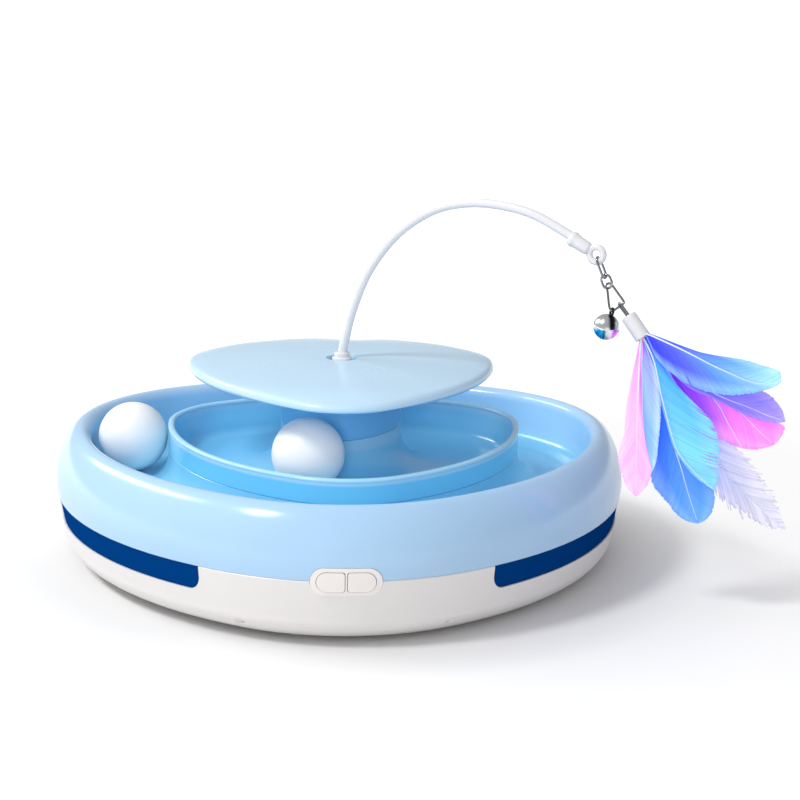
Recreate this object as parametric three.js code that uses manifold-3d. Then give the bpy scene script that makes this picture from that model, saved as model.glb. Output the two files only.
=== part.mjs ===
// Automatic cat toy: a two-tier ball track on a white base, with a wire teaser that turns above it.
// Millimetres, +Z up. The origin is the centre of the base shell's flat underside, front corner at -Y.
import * as THREE from 'three';
import { mergeVertices } from 'three/addons/utils/BufferGeometryUtils.js';
import Module from 'manifold-3d';

const wasm = await Module();
wasm.setup();

// Driving dimensions: clearances and walls
const fitGap = 0.3; // between pieces that touch
const runGap = 0.7; // between a ball and the walls it rolls along
const wall = 2.4; // moulded wall thickness
const ballRadius = 15.5;

// Driving dimensions: plan outlines, offset curves of one rounded triangle
const cornerReach = 41.2; // from the axis to each corner centre
const bandOffset = 43; // outside of the tray's band
const ringWidth = 16; // from the track's inner wall to the ring's widest line
const plateOffset = 32.8;
const columnReach = 21;
const columnOffset = 8.5;
const steps = 36; // facets round an outline

// Driving dimensions: heights above the underside
const seamHeight = 27.5;
const widestHeight = 33;
const ringTop = 55.6;
const trackFloor = 32.2;
const bandBottom = 45;
const trayFloor = 40.5;
const trayRim = 56;
const columnSeam = 58.5;
const plateBottom = 79.5;
const plateEdge = 5.9; // thickness of the plate's rounded edge
const plateCrown = 89.3;
const holeRadius = 6.85; // the hole that the teaser turns in
const dentPlace = 5; // the plate's shallow notch, a little right of its rear middle
const dentWidth = 11;
const dentDepth = 4.5;

// Driving dimensions: the ring's rounding, the base's lean and the pedestals' flares
const ringRound = 11.4; // across the outer rounding
const ringCurve = 1.8; // its superellipse's power, 2 for a plain ellipse
const lipRound = 3.6; // across the inner rounding
const lipDrop = 4.6;
const floorFillet = 9;
const shellLean = 5.5; // how far the shell draws in from its widest line to the floor
const shellBend = 1.5;
const edgeWidth = 15.5; // of the rounding at the foot of the base shell
const edgeHeight = 9;
const flareWidth = 9;
const flareHeight = 12.4;
const columnFlareReach = 10;
const columnFlareOffset = 6.5;
const columnFlareHeight = 14;

// Driving dimensions: windows, button group and feet
const windowHeight = 10.7;
const windowHalfAngle = 31.6; // degrees, from the middle of each side
const windowCorner = 4.5;
const linerDepth = 1.6;
const bezelWidth = 28.5;
const bezelHeight = 11.4;
const bezelProud = 0.7;
const buttonWidth = 11.1;
const buttonHeight = 8;
const buttonGap = 1.2;
const buttonTravel = 0.8;
const notchAngle = 23.2; // degrees, from the front corner
const footRadius = 8;
const footHeight = 1.5;
const footSpace = 1.2; // between a foot and the head of the screw beside it

// Driving dimensions: the drive inside
const shaftRadius = 2.5;
const gearboxRadius = 13;
const gearboxHeight = 13;
const motorRadius = 12;
const bracketRadius = 24;
const bracketPlate = 2;
const postRadius = 3.5;
const screwRadius = 1.5;
const screwHead = 2.8;

// Driving dimensions: the teaser, in the vertical plane that it hangs in
const teaserAngle = -30; // degrees from +X
const wireRadius = 1.75;
const hubRadius = 4.4;
const hubHeight = 10;
const linkWire = 0.4; // radius
const linkGap = 1.2; // between the centrelines of two links that hang in each other
const eyeletRing = 3.1;
const eyeletWire = 1.4;
const bellRadius = 5.4;
const ferruleRadius = 3.3;
const ferruleLength = 11;
const ferruleWall = 0.5;
const ferruleMouth = 3; // how deep the feathers go in

// Values that follow from the sizes above
const orbitOffset = bandOffset + runGap + ballRadius;
const trackWall = orbitOffset + ballRadius + runGap;
const ringOffset = trackWall + ringWidth;
const postReach = cornerReach + bandOffset + postRadius + fitGap;
const footReach = postReach + screwHead + footRadius + footSpace;
const deckTop = trayFloor - wall - fitGap;
const wellFloor = plateBottom;
const degree = Math.PI / 180;
const round = (from, to, count, make) =>
  Array.from({ length: count + 1 }, (_, i) => make((from + ((to - from) * i) / count) * degree));

// The outside of the shells at a height, as an offset of the rounded triangle
const shellOffset = (z) =>
  ringOffset - shellLean * (Math.max(0, widestHeight - z) / widestHeight) ** shellBend;

// A point of the rounded triangle's offset curve whose normal points along an angle in degrees
function outlinePoint(reach, offset, angle) {
  const turn = (((angle + 120) % 360) + 360) % 360;
  const sector = Math.floor(turn / 60 + 1e-9) % 6;
  const onCorner = sector % 2 === 0;
  const corner = onCorner ? sector / 2 : ((sector - 1) / 2 + 2) % 3;
  const centre = (-90 + 120 * corner) * degree;
  const radius = onCorner ? offset : Math.sqrt(3) * reach + offset;
  return [
    reach * Math.cos(centre) + radius * Math.cos(angle * degree),
    reach * Math.sin(centre) + radius * Math.sin(angle * degree),
  ];
}

// Turns a triangle list outward and wraps it as a geometry
function closedGeometry(points, triangles) {
  let volume = 0;
  const at = (i) => new THREE.Vector3(...points[i]);
  for (const [a, b, c] of triangles) volume += at(a).dot(at(b).cross(at(c)));
  const geometry = new THREE.BufferGeometry();
  geometry.setAttribute('position', new THREE.Float32BufferAttribute(points.flat(), 3));
  geometry.setIndex(triangles.flatMap(([a, b, c]) => (volume < 0 ? [a, c, b] : [a, b, c])));
  return geometry;
}

// Sweeps a profile of {reach, offset, z} round the axis. A profile that starts or ends with offset 0
// closes there in a point, and any other profile closes on itself.
function sweepOutline(profile) {
  const points = [];
  const triangles = [];
  const rings = profile.map(({ reach = cornerReach, offset, z, dent = 0 }) => {
    const first = points.length;
    if (offset === 0) {
      points.push([0, 0, z]);
      return Array(steps).fill(first);
    }
    for (let i = 0; i < steps; i++) {
      const [x, y] = outlinePoint(reach, offset, -120 + (360 * i) / steps);
      const dip = y > 0 ? dent * Math.exp(-(((x - dentPlace) / dentWidth) ** 2)) : 0;
      points.push([x, y - dip, z]);
    }
    return Array.from({ length: steps }, (_, i) => first + i);
  });
  const open = profile[0].offset === 0 || profile.at(-1).offset === 0;
  const last = open ? rings.length - 1 : rings.length;
  for (let k = 0; k < last; k++) {
    const low = rings[k];
    const high = rings[(k + 1) % rings.length];
    for (let i = 0; i < steps; i++) {
      const j = (i + 1) % steps;
      if (low[i] !== low[j]) triangles.push([low[i], low[j], high[i]]);
      if (high[i] !== high[j]) triangles.push([low[j], high[j], high[i]]);
    }
  }
  return closedGeometry(points, triangles);
}

// Lofts a closed body through sections, each a list of points in the same order
function loft(sections, closed = false) {
  const count = sections[0].length;
  const points = sections.flat();
  const triangles = [];
  const last = closed ? sections.length : sections.length - 1;
  for (let k = 0; k < last; k++) {
    const low = k * count;
    const high = ((k + 1) % sections.length) * count;
    for (let i = 0; i < count; i++) {
      const j = (i + 1) % count;
      triangles.push([low + i, low + j, high + i], [low + j, high + j, high + i]);
    }
  }
  if (!closed) {
    const end = (sections.length - 1) * count;
    for (let i = 1; i < count - 1; i++) {
      triangles.push([0, i + 1, i], [end, end + i, end + i + 1]);
    }
  }
  return closedGeometry(points, triangles);
}

// Joins and cuts of closed bodies
function solid(geometry) {
  const plain = geometry.clone();
  plain.deleteAttribute('normal');
  plain.deleteAttribute('uv');
  const merged = mergeVertices(plain, 1e-4);
  return new wasm.Manifold(
    new wasm.Mesh({
      numProp: 3,
      vertProperties: new Float32Array(merged.attributes.position.array),
      triVerts: new Uint32Array(merged.index.array),
    }),
  );
}

function fromSolid(body) {
  const mesh = body.getMesh();
  const geometry = new THREE.BufferGeometry();
  geometry.setAttribute('position', new THREE.BufferAttribute(mesh.vertProperties, 3));
  geometry.setIndex(new THREE.BufferAttribute(mesh.triVerts, 1));
  return geometry;
}

const cut = (body, ...tools) =>
  fromSolid(tools.reduce((left, tool) => left.subtract(solid(tool)), solid(body)));
const join = (body, ...parts) =>
  fromSolid(parts.reduce((left, part) => left.add(solid(part)), solid(body)));
const common = (body, tool) => fromSolid(solid(body).intersect(solid(tool)));

// Plain shapes, each standing on its own height
function rod(radius, low, high, x = 0, y = 0, sides = 16) {
  const geometry = new THREE.CylinderGeometry(radius, radius, high - low, sides);
  return geometry.rotateX(Math.PI / 2).translate(x, y, (low + high) / 2);
}

function block([x0, x1], [y0, y1], [z0, z1]) {
  const geometry = new THREE.BoxGeometry(x1 - x0, y1 - y0, z1 - z0);
  return geometry.translate((x0 + x1) / 2, (y0 + y1) / 2, (z0 + z1) / 2);
}

function turned(profile, sides = 18) {
  const geometry = new THREE.LatheGeometry(profile.map(([r, z]) => new THREE.Vector2(r, z)), sides);
  return geometry.rotateX(Math.PI / 2);
}

// Scene: the fixed body, and the teaser's own group
const toy = new THREE.Group();
const teaser = new THREE.Group();
teaser.rotation.z = teaserAngle * degree;
toy.add(teaser);

const finishes = {
  blue: { color: 0xb9dcf7, roughness: 0.25, metalness: 0 },
  paleBlue: { color: 0xcfe8fb, roughness: 0.25, metalness: 0 },
  white: { color: 0xeceaec, roughness: 0.3, metalness: 0 },
  navy: { color: 0x00357f, roughness: 0.15, metalness: 0 },
  steel: { color: 0xc8ccd2, roughness: 0.2, metalness: 1 },
  dark: { color: 0x2a2c30, roughness: 0.6, metalness: 0 },
  green: { color: 0x1f6b45, roughness: 0.5, metalness: 0 },
  brass: { color: 0xcaa75a, roughness: 0.35, metalness: 1 },
};

function place(name, geometry, finish, { parent = toy, position = [0, 0, 0], turn = 0 } = {}) {
  const look = typeof finish === 'string' ? finishes[finish] : finish;
  const mesh = new THREE.Mesh(geometry, new THREE.MeshStandardMaterial(look));
  mesh.name = name;
  mesh.position.set(...position);
  mesh.rotation.z = turn;
  parent.add(mesh);
  return mesh;
}

const cornerNames = ['front', 'right', 'left'];
const cornerTurn = (k) => k * 120 * degree; // from the front corner

// Base shell: a bowl with window notches in its edge
const shellEdge = seamHeight - fitGap / 2;
const shellHeights = [edgeHeight, 14, 20, shellEdge];
const baseOuter = [
  ...round(0, 70, 2, (a) => ({
    offset: shellOffset(edgeHeight) - edgeWidth * (1 - Math.sin(a)),
    z: edgeHeight * (1 - Math.cos(a)),
  })),
  ...shellHeights.map((z) => ({ offset: shellOffset(z), z })),
];
const baseInner = [...shellHeights].reverse().map((z) => ({ offset: shellOffset(z) - wall, z }));
const bowl = sweepOutline([
  { offset: 0, z: 0 },
  ...baseOuter,
  ...baseInner,
  { offset: baseOuter[1].offset - wall / 3, z: baseOuter[1].z + wall },
  { offset: shellOffset(wall) - wall - edgeWidth, z: wall },
  { offset: 0, z: wall },
]);

// A window notch, open at the shell's edge and rounded at its lower corners
function windowTool(middle) {
  const half = windowHalfAngle;
  const inner = bandOffset + cornerReach;
  const outer = ringOffset + cornerReach + wall;
  const cornerAngle = windowCorner / ((inner + outer) / 2) / degree;
  const low = seamHeight - windowHeight;
  const angles = [];
  for (let i = 0; i <= 4; i++) angles.push(-half + cornerAngle * (1 - Math.cos(i * 22.5 * degree)));
  for (let i = 1; i < 8; i++) angles.push(-half + cornerAngle + ((half - cornerAngle) * i) / 4);
  for (let i = 4; i >= 0; i--) angles.push(half - cornerAngle * (1 - Math.cos(i * 22.5 * degree)));
  const sections = angles.map((angle) => {
    const inset = Math.max(0, 1 - (half - Math.abs(angle)) / cornerAngle);
    const bottom = low + windowCorner * (1 - Math.sqrt(1 - inset * inset));
    const ray = (middle + angle) * degree;
    return [
      [inner, bottom],
      [outer, bottom],
      [outer, seamHeight + 1],
      [inner, seamHeight + 1],
    ].map(([r, z]) => [r * Math.cos(ray), r * Math.sin(ray), z]);
  });
  return loft(sections);
}
const sideMiddles = [-30, 90, 210];

// The rounded strip that frames the two buttons, and the outlines that it and its hole share
function pillShape(width, height) {
  const shape = new THREE.Shape();
  const r = height / 2;
  const x = width / 2 - r;
  shape.moveTo(-x, -r);
  shape.lineTo(x, -r);
  shape.absarc(x, 0, r, -Math.PI / 2, Math.PI / 2);
  shape.lineTo(-x, r);
  shape.absarc(-x, 0, r, Math.PI / 2, (3 * Math.PI) / 2);
  return shape;
}

function buttonShape(side) {
  const shape = new THREE.Shape();
  const r = buttonHeight / 2;
  const near = buttonGap / 2;
  const far = near + buttonWidth - r;
  shape.moveTo(near, -r);
  shape.lineTo(far, -r);
  shape.absarc(far, 0, r, -Math.PI / 2, Math.PI / 2);
  shape.lineTo(near, r);
  const points = shape.getPoints(8).map((p) => new THREE.Vector2(side * p.x, p.y));
  return new THREE.Shape(side < 0 ? points.reverse() : points);
}

const bezelDepth = 7;
const buttonDepth = 9;
const frontFace = cornerReach + ringOffset;
const throughFront = (shape) => {
  const geometry = new THREE.ExtrudeGeometry(shape, { depth: 20, bevelEnabled: false, curveSegments: 8 });
  return geometry.rotateX(Math.PI / 2).translate(0, buttonDepth + 1.2 - frontFace, seamHeight);
};
const grow = (width, height, by) => pillShape(width + 2 * by, height + 2 * by);
const pillHole = throughFront(grow(bezelWidth, bezelHeight, fitGap));

// A curved slab that follows the shell's outside, cut by a strip to make the bezel and buttons
function frontSlab(proud, depth) {
  const low = seamHeight - bezelHeight;
  const heights = [0, 1, 2, 3, 4].map((i) => low + (i * bezelHeight) / 2);
  return sweepOutline([
    ...heights.map((z) => ({ offset: shellOffset(z) + proud, z })),
    { offset: ringOffset - depth, z: heights[4] },
    { offset: ringOffset - depth, z: heights[0] },
  ]);
}

const switchMiddle = (buttonGap + buttonWidth) / 2;
const plungerRadius = 1.7;
const plungerSide = switchMiddle + plungerRadius;
const buttonBack = cornerReach + Math.sqrt((ringOffset - buttonDepth) ** 2 - plungerSide ** 2);

// Charging socket in the right rear corner
const socketWidth = 9;
const socketHeight = 3.4;
const socketDepth = 7.4;
const socketMiddle = 9;
const socketFace = cornerReach + shellOffset(socketMiddle) - wall - fitGap;
const socketHole = block(
  [-socketWidth / 2 - fitGap, socketWidth / 2 + fitGap],
  [-frontFace - 2, -socketFace + 2],
  [socketMiddle - socketHeight / 2 - fitGap, socketMiddle + socketHeight / 2 + fitGap],
).rotateZ(cornerTurn(1));

// Fixed posts inside the base
const boardThickness = 1.6;
const plungerTip = buttonBack - buttonTravel - fitGap;
const switchDepth = 3.5;
const plungerLength = 1;
const boardFront = plungerTip - plungerLength - switchDepth - fitGap;
const boardBack = boardFront - boardThickness;
const boardHalf = 18;
const boardTop = seamHeight + 5;
const boardLow = wall + 3;
const ribs = [-1, 1].map((side) =>
  block(
    [side > 0 ? boardHalf - 4 : -boardHalf, side > 0 ? boardHalf : 4 - boardHalf],
    [-boardBack + fitGap, -boardBack + fitGap + 2],
    [wall - 0.5, seamHeight - 12],
  ),
);
const chargeBoardTop = socketMiddle - socketHeight / 2 - fitGap;
const chargePosts = [-8, 8].map((x) =>
  rod(2.4, wall - 0.5, chargeBoardTop - boardThickness - fitGap, x, -socketFace + 14).rotateZ(cornerTurn(1)),
);
const cradleLength = 71;
const cellRadius = 9.2;
const cellLength = 65;
const cellReach = 62;
const cellHeight = wall + fitGap + 2 + fitGap + cellRadius;

const notchTools = [-1, 1].map((side) => {
  const dimple = new THREE.SphereGeometry(1, 8, 6).scale(2.3, 1.2, 1.3);
  const reach = outlinePoint(cornerReach, shellOffset(6.5), -90);
  return dimple.translate(0, reach[1], 6.5).rotateZ(side * notchAngle * degree);
});
const footPockets = cornerNames.map((_, k) =>
  rod(footRadius + fitGap, -1, 0.5 + fitGap, 0, -footReach).rotateZ(cornerTurn(k)),
);
const baseHoles = cornerNames.map((_, k) => {
  const through = rod(screwRadius + fitGap, -1, wall + 1, 0, -postReach, 8);
  const head = rod(screwHead + fitGap, -1, 1.2, 0, -postReach, 10);
  return join(through, head).rotateZ(cornerTurn(k));
});
const lowerShell = cut(
  join(bowl, ...ribs, ...chargePosts),
  ...sideMiddles.map(windowTool),
  pillHole,
  socketHole,
  ...notchTools,
  ...footPockets,
  ...baseHoles,
);
place('lower_shell', lowerShell, 'white');

// Navy bands behind the windows
function liner(middle) {
  const reach = windowHalfAngle + 3;
  const heights = [seamHeight - windowHeight - 3, seamHeight - 4, shellEdge];
  const band = sweepOutline([
    ...heights.map((z) => ({ offset: shellOffset(z) - wall - fitGap, z })),
    ...[...heights].reverse().map((z) => ({ offset: shellOffset(z) - wall - fitGap - linerDepth, z })),
  ]);
  const wedge = new THREE.Shape([
    new THREE.Vector2(0, 0),
    ...[-reach, reach].map((a) => new THREE.Vector2(260 * Math.cos(a * degree), 260 * Math.sin(a * degree))),
  ]);
  const tool = new THREE.ExtrudeGeometry(wedge, { depth: 60, bevelEnabled: false });
  return common(band, tool.rotateZ(middle * degree));
}
['right', 'rear', 'left'].forEach((side, i) => place(`slot_liner_${side}`, liner(sideMiddles[i]), 'navy'));

// Feet and base screws
cornerNames.forEach((name, k) => {
  const foot = rod(footRadius, -footHeight, 0.5, 0, -footReach);
  place(`foot_${name}`, foot, 'dark', { turn: cornerTurn(k) });
});
function screw(head, low, high, headHeight = 1) {
  return join(rod(head, low, low + headHeight, 0, 0, 10), rod(screwRadius, low, high, 0, 0, 8));
}
const postLength = 9;
cornerNames.forEach((name, k) => {
  const angle = cornerTurn(k) - 90 * degree;
  const body = screw(screwHead, 0.1, wall + postLength - 1.5);
  const position = [postReach * Math.cos(angle), postReach * Math.sin(angle), 0];
  place(`base_screw_${name}`, body, 'steel', { position });
});

// Track shell: outer ring, track floor and the pedestal that the tray sits on
const ringMiddle = ringOffset - ringRound; // the rounding's centre line
const ringRise = ringTop - widestHeight;
const filletZ = trackFloor + floorFillet;
const filletOffset = trackWall - floorFillet;
const bandInset = bandOffset - 0.2;
const deckOffset = bandInset - wall; // the pocket that the tray's bowl drops into
const pedestalTop = bandBottom - fitGap;
const shaftHole = shaftRadius + 2.5;
const ringProfile = [
  { offset: shellOffset(seamHeight), z: seamHeight + fitGap / 2 },
  ...round(0, 89, 6, (a) => ({
    offset: ringMiddle + ringRound * Math.cos(a) ** (2 / ringCurve),
    z: widestHeight + ringRise * Math.sin(a) ** (2 / ringCurve),
  })),
  ...round(30, 90, 2, (a) => ({
    offset: ringMiddle - lipRound * Math.sin(a),
    z: ringTop - lipDrop * (1 - Math.cos(a)),
  })),
  ...round(0, 90, 3, (a) => ({
    offset: filletOffset + floorFillet * Math.cos(a),
    z: filletZ - floorFillet * Math.sin(a),
  })),
  ...round(0, 90, 3, (a) => ({
    offset: bandInset + flareWidth * (1 - Math.sin(a)),
    z: trackFloor + flareHeight * (1 - Math.cos(a)),
  })),
  { offset: bandInset, z: pedestalTop },
  { offset: deckOffset, z: pedestalTop },
  { offset: deckOffset, z: deckTop },
  { reach: 0, offset: shaftHole, z: deckTop },
  { reach: 0, offset: shaftHole, z: deckTop - wall },
  { offset: deckOffset + 2, z: deckTop - wall },
  { offset: bandOffset + 4, z: trackFloor - wall + 1.4 },
  { offset: bandOffset + 9, z: trackFloor - wall },
  ...round(90, 0, 2, (a) => ({
    offset: filletOffset + (floorFillet + wall) * Math.cos(a),
    z: filletZ - (floorFillet + wall) * Math.sin(a),
  })),
  { offset: ringMiddle - lipRound + wall, z: ringTop - lipDrop },
  { offset: ringMiddle, z: ringTop - wall },
  ...round(45, 0, 1, (a) => ({
    offset: ringMiddle + (ringRound - wall) * Math.cos(a) ** (2 / ringCurve),
    z: widestHeight + (ringRise - wall) * Math.sin(a) ** (2 / ringCurve),
  })),
  { offset: shellOffset(seamHeight) - wall, z: seamHeight + fitGap / 2 },
];
const basePosts = cornerNames.map((_, k) => {
  const post = rod(postRadius, wall + fitGap, trackFloor - wall + 0.5, 0, -postReach);
  const bore = rod(screwRadius + fitGap / 2, wall - 1, wall + postLength, 0, -postReach, 8);
  return cut(post, bore).rotateZ(cornerTurn(k));
});
const bracketReach = 19;
const bracketTop = deckTop - wall - 3;
const bracketPosts = cornerNames.map((_, k) => {
  const post = rod(postRadius, bracketTop + fitGap, deckTop - wall + 0.5, 0, bracketReach);
  const bore = rod(screwRadius + fitGap / 2, bracketTop - 1, deckTop - 1, 0, bracketReach, 8);
  return cut(post, bore).rotateZ(cornerTurn(k));
});
const trayScrewReach = 36;
const trayHoles = cornerNames.map((_, k) =>
  rod(screwRadius + fitGap, deckTop - wall - 1, deckTop + 1, 0, -trayScrewReach, 8).rotateZ(cornerTurn(k)),
);
const boreTools = cornerNames.map((_, k) =>
  rod(screwRadius + fitGap / 2, bracketTop - 1, deckTop - 1, 0, bracketReach, 8).rotateZ(cornerTurn(k)),
);
const trackShell = cut(
  join(sweepOutline(ringProfile), ...basePosts, ...bracketPosts),
  pillHole,
  ...trayHoles,
  ...boreTools,
);
place('track_shell', trackShell, 'blue');

// Tray: rim bead, band wall, bowl and the flared foot of the column
const beadRadius = 1.3;
const bowlOffset = deckOffset - fitGap; // outside of the part that drops into the pedestal
const trayWall = bandOffset - wall;
const bowlFillet = 5;
const columnWall = columnOffset - wall;
const flarePoint = (a, inset) => ({
  reach: columnReach + columnFlareReach * (1 - Math.sin(a)),
  offset: columnOffset - inset + columnFlareOffset * (1 - Math.sin(a)),
  z: trayFloor - inset + columnFlareHeight * (1 - Math.cos(a)),
});
const trayProfile = [
  { offset: bowlOffset, z: deckTop + fitGap },
  { offset: bowlOffset, z: bandBottom },
  { offset: bandOffset, z: bandBottom },
  { offset: bandOffset, z: trayRim - 2.6 },
  { offset: bandOffset + 0.9, z: trayRim - beadRadius },
  { offset: bandOffset - 0.4, z: trayRim },
  { offset: bandOffset - 2, z: trayRim - 0.8 },
  { offset: trayWall, z: trayRim - 2.6 },
  ...round(0, 90, 2, (a) => ({
    offset: bowlOffset - wall - bowlFillet * (1 - Math.cos(a)),
    z: trayFloor + bowlFillet * (1 - Math.sin(a)),
  })),
  ...round(0, 90, 3, (a) => flarePoint(a, 0)),
  { reach: columnReach, offset: columnOffset, z: columnSeam - fitGap / 2 },
  { reach: columnReach, offset: columnWall, z: columnSeam - fitGap / 2 },
  ...round(90, 30, 2, (a) => flarePoint(a, wall)),
  { reach: columnReach + columnFlareReach, offset: columnOffset, z: deckTop + fitGap },
];
const traySockets = cornerNames.map((_, k) => {
  const boss = rod(postRadius, deckTop + fitGap, trayFloor + 4, 0, -trayScrewReach);
  return boss.rotateZ(cornerTurn(k));
});
const trayBores = cornerNames.map((_, k) =>
  rod(screwRadius + fitGap / 2, deckTop - 1, trayFloor + 1, 0, -trayScrewReach, 8).rotateZ(cornerTurn(k)),
);
const underFlare = sweepOutline([
  { offset: 0, z: deckTop },
  { reach: columnReach + columnFlareReach, offset: columnFlareOffset + columnOffset, z: deckTop },
  ...round(0, 90, 4, (a) => flarePoint(a, 0.4)),
  { offset: 0, z: trayFloor + columnFlareHeight },
]);
const bosses = traySockets.map((boss) => common(boss, underFlare));
place('tray', cut(join(sweepOutline(trayProfile), ...bosses), ...trayBores), 'blue');
cornerNames.forEach((name, k) => {
  const angle = cornerTurn(k) - 90 * degree;
  const body = screw(screwHead, deckTop - wall - fitGap - 1, trayFloor + 0.5);
  const position = [trayScrewReach * Math.cos(angle), trayScrewReach * Math.sin(angle), 0];
  place(`tray_screw_${name}`, body, 'steel', { position });
});

// Top plate with its collar, and the bush that steadies the shaft
const plateTop = plateBottom + plateEdge;
const dome = (share) => plateCrown - (plateCrown - plateTop) * share ** 2;
const bushRadius = shaftRadius + 1.6;
const bushFlange = 1.2;
const underPlate = plateTop - wall;
const plateProfile = [
  { reach: 0, offset: holeRadius, z: plateCrown },
  ...[0.4, 0.75].map((share) => ({
    reach: cornerReach * share,
    offset: holeRadius + (plateOffset - 1.6 - holeRadius) * share,
    z: dome(share),
  })),
  { offset: plateOffset - 1.6, z: plateTop, dent: dentDepth },
  { offset: plateOffset - 0.3, z: plateTop - 1.2, dent: dentDepth },
  { offset: plateOffset, z: plateTop - 2.4, dent: dentDepth },
  { offset: plateOffset - 0.4, z: plateBottom + 1, dent: dentDepth },
  { offset: plateOffset - 1.5, z: plateBottom, dent: dentDepth },
  { offset: plateOffset - wall - 1, z: plateBottom + 0.4, dent: dentDepth },
  { offset: plateOffset - wall - 4, z: underPlate, dent: dentDepth },
  { reach: columnReach, offset: columnOffset, z: underPlate },
  { reach: columnReach, offset: columnOffset, z: columnSeam + fitGap / 2 },
  { reach: columnReach, offset: columnWall, z: columnSeam + fitGap / 2 },
  { reach: columnReach, offset: columnWall, z: wellFloor - wall },
  { reach: 0, offset: bushRadius + fitGap, z: wellFloor - wall },
  { reach: 0, offset: bushRadius + fitGap, z: wellFloor },
  { reach: 0, offset: holeRadius, z: wellFloor },
];
place('top_plate', sweepOutline(plateProfile), 'paleBlue');
const bush = turned([
  [shaftRadius + fitGap, wellFloor - wall - 3],
  [bushRadius, wellFloor - wall - 3],
  [bushRadius, wellFloor + fitGap],
  [bushRadius + 1.3, wellFloor + fitGap],
  [bushRadius + 1.3, wellFloor + fitGap + bushFlange],
  [shaftRadius + fitGap, wellFloor + fitGap + bushFlange],
  [shaftRadius + fitGap, wellFloor - wall - 3],
]);
place('shaft_bush', bush, 'brass');

// Bezel and buttons
const bezelHoles = [-1, 1].map((side) => {
  const middle = side * (buttonGap + buttonWidth) * 0.5;
  const spread = new THREE.Matrix4().makeScale(1 + (2 * fitGap) / buttonWidth, 1, 1 + (2 * fitGap) / buttonHeight);
  const tool = throughFront(buttonShape(side)).translate(-middle, 0, -seamHeight);
  return tool.applyMatrix4(spread).translate(middle, 0, seamHeight);
});
const bezelBody = common(frontSlab(bezelProud, bezelDepth), throughFront(pillShape(bezelWidth, bezelHeight)));
place('button_bezel', cut(bezelBody, ...bezelHoles), 'white');
['left', 'right'].forEach((side, i) => {
  const strip = throughFront(buttonShape(i ? 1 : -1));
  place(`button_${side}`, common(frontSlab(bezelProud + 0.4, buttonDepth), strip), 'white');
});

// Balls: one in the track, one in the tray
const ball = () => new THREE.SphereGeometry(ballRadius, 20, 12).rotateX(Math.PI / 2);
const [outerX, outerY] = outlinePoint(cornerReach, orbitOffset, 180);
place('outer_ball', ball(), 'white', { position: [outerX, outerY, trackFloor + fitGap + ballRadius] });
const innerOrbit = 46;
const innerAngle = -109.7 * degree;
place('inner_ball', ball(), 'white', {
  position: [innerOrbit * Math.cos(innerAngle), innerOrbit * Math.sin(innerAngle), trayFloor + fitGap + ballRadius],
});

// Drive: bracket under the deck, gearbox and motor below it, shaft up the column
const gearboxTop = bracketTop - bracketPlate - fitGap;
const gearboxLow = gearboxTop - gearboxHeight;
const shaftLow = gearboxTop - 3;
const gearboxScrewReach = 8.5;
const bracket = cut(
  rod(bracketRadius, bracketTop - bracketPlate, bracketTop, 0, 0, 36),
  rod(shaftHole, bracketTop - 5, bracketTop + 1),
  ...cornerNames.map((_, k) =>
    rod(screwRadius + fitGap, bracketTop - 5, bracketTop + 1, 0, bracketReach, 8).rotateZ(cornerTurn(k)),
  ),
  ...[-1, 1].map((side) => rod(1.3, bracketTop - 5, bracketTop + 1, side * gearboxScrewReach, 0, 8)),
);
place('motor_bracket', bracket, 'steel');
cornerNames.forEach((name, k) => {
  const angle = cornerTurn(k) + 90 * degree;
  const body = screw(screwHead, bracketTop - bracketPlate - fitGap - 1, deckTop - 2);
  const position = [bracketReach * Math.cos(angle), bracketReach * Math.sin(angle), 0];
  place(`bracket_screw_${name}`, body, 'steel', { position });
});
const gearbox = cut(
  rod(gearboxRadius, gearboxLow, gearboxTop, 0, 0, 28),
  rod(shaftRadius + fitGap, shaftLow - fitGap, gearboxTop + 1),
  ...[-1, 1].map((side) => rod(1.3, gearboxTop - 3, gearboxTop + 1, side * gearboxScrewReach, 0, 8)),
);
place('gearbox', gearbox, 'dark');
[-1, 1].forEach((side) => {
  const pin = rod(1, gearboxTop - 2.6, bracketTop + fitGap + 0.5, 0, 0, 8);
  const head = rod(1.9, bracketTop + fitGap, bracketTop + fitGap + 1, 0, 0, 16);
  place(`gearbox_screw_${side < 0 ? 'left' : 'right'}`, join(pin, head), 'steel', {
    position: [side * gearboxScrewReach, 0, 0],
  });
});
place('motor_can', rod(motorRadius, wall + 1.5, gearboxLow - fitGap, 0, 0, 28), 'steel');

// Power and control: cell in its cradle, switch board, charging board and socket
const cell = new THREE.CylinderGeometry(cellRadius, cellRadius, cellLength, 24).rotateZ(Math.PI / 2);
place('battery', cell, 'dark', { position: [0, cellReach, cellHeight] });
const cradle = cut(
  block(
    [-cradleLength / 2, cradleLength / 2],
    [cellReach - cellRadius - 2, cellReach + cellRadius + 2],
    [wall + fitGap, cellHeight],
  ),
  new THREE.CylinderGeometry(cellRadius + fitGap, cellRadius + fitGap, cellLength + 2 * fitGap, 24)
    .rotateZ(Math.PI / 2)
    .translate(0, cellReach, cellHeight),
);
place('battery_cradle', cradle, 'dark');
place(
  'circuit_board',
  block([-boardHalf, boardHalf], [-boardFront, -boardBack], [boardLow, boardTop]),
  'green',
);
['left', 'right'].forEach((side, i) => {
  const x = i ? switchMiddle : -switchMiddle;
  const body = block([-3, 3], [-boardFront - fitGap - switchDepth, -boardFront - fitGap], [-3, 3]);
  const plunger = rod(plungerRadius, plungerTip - plungerLength - 1, plungerTip, 0, 0, 16).rotateX(Math.PI / 2);
  place(`switch_${side}`, join(body, plunger), 'dark', { position: [x, 0, seamHeight] });
});
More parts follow.
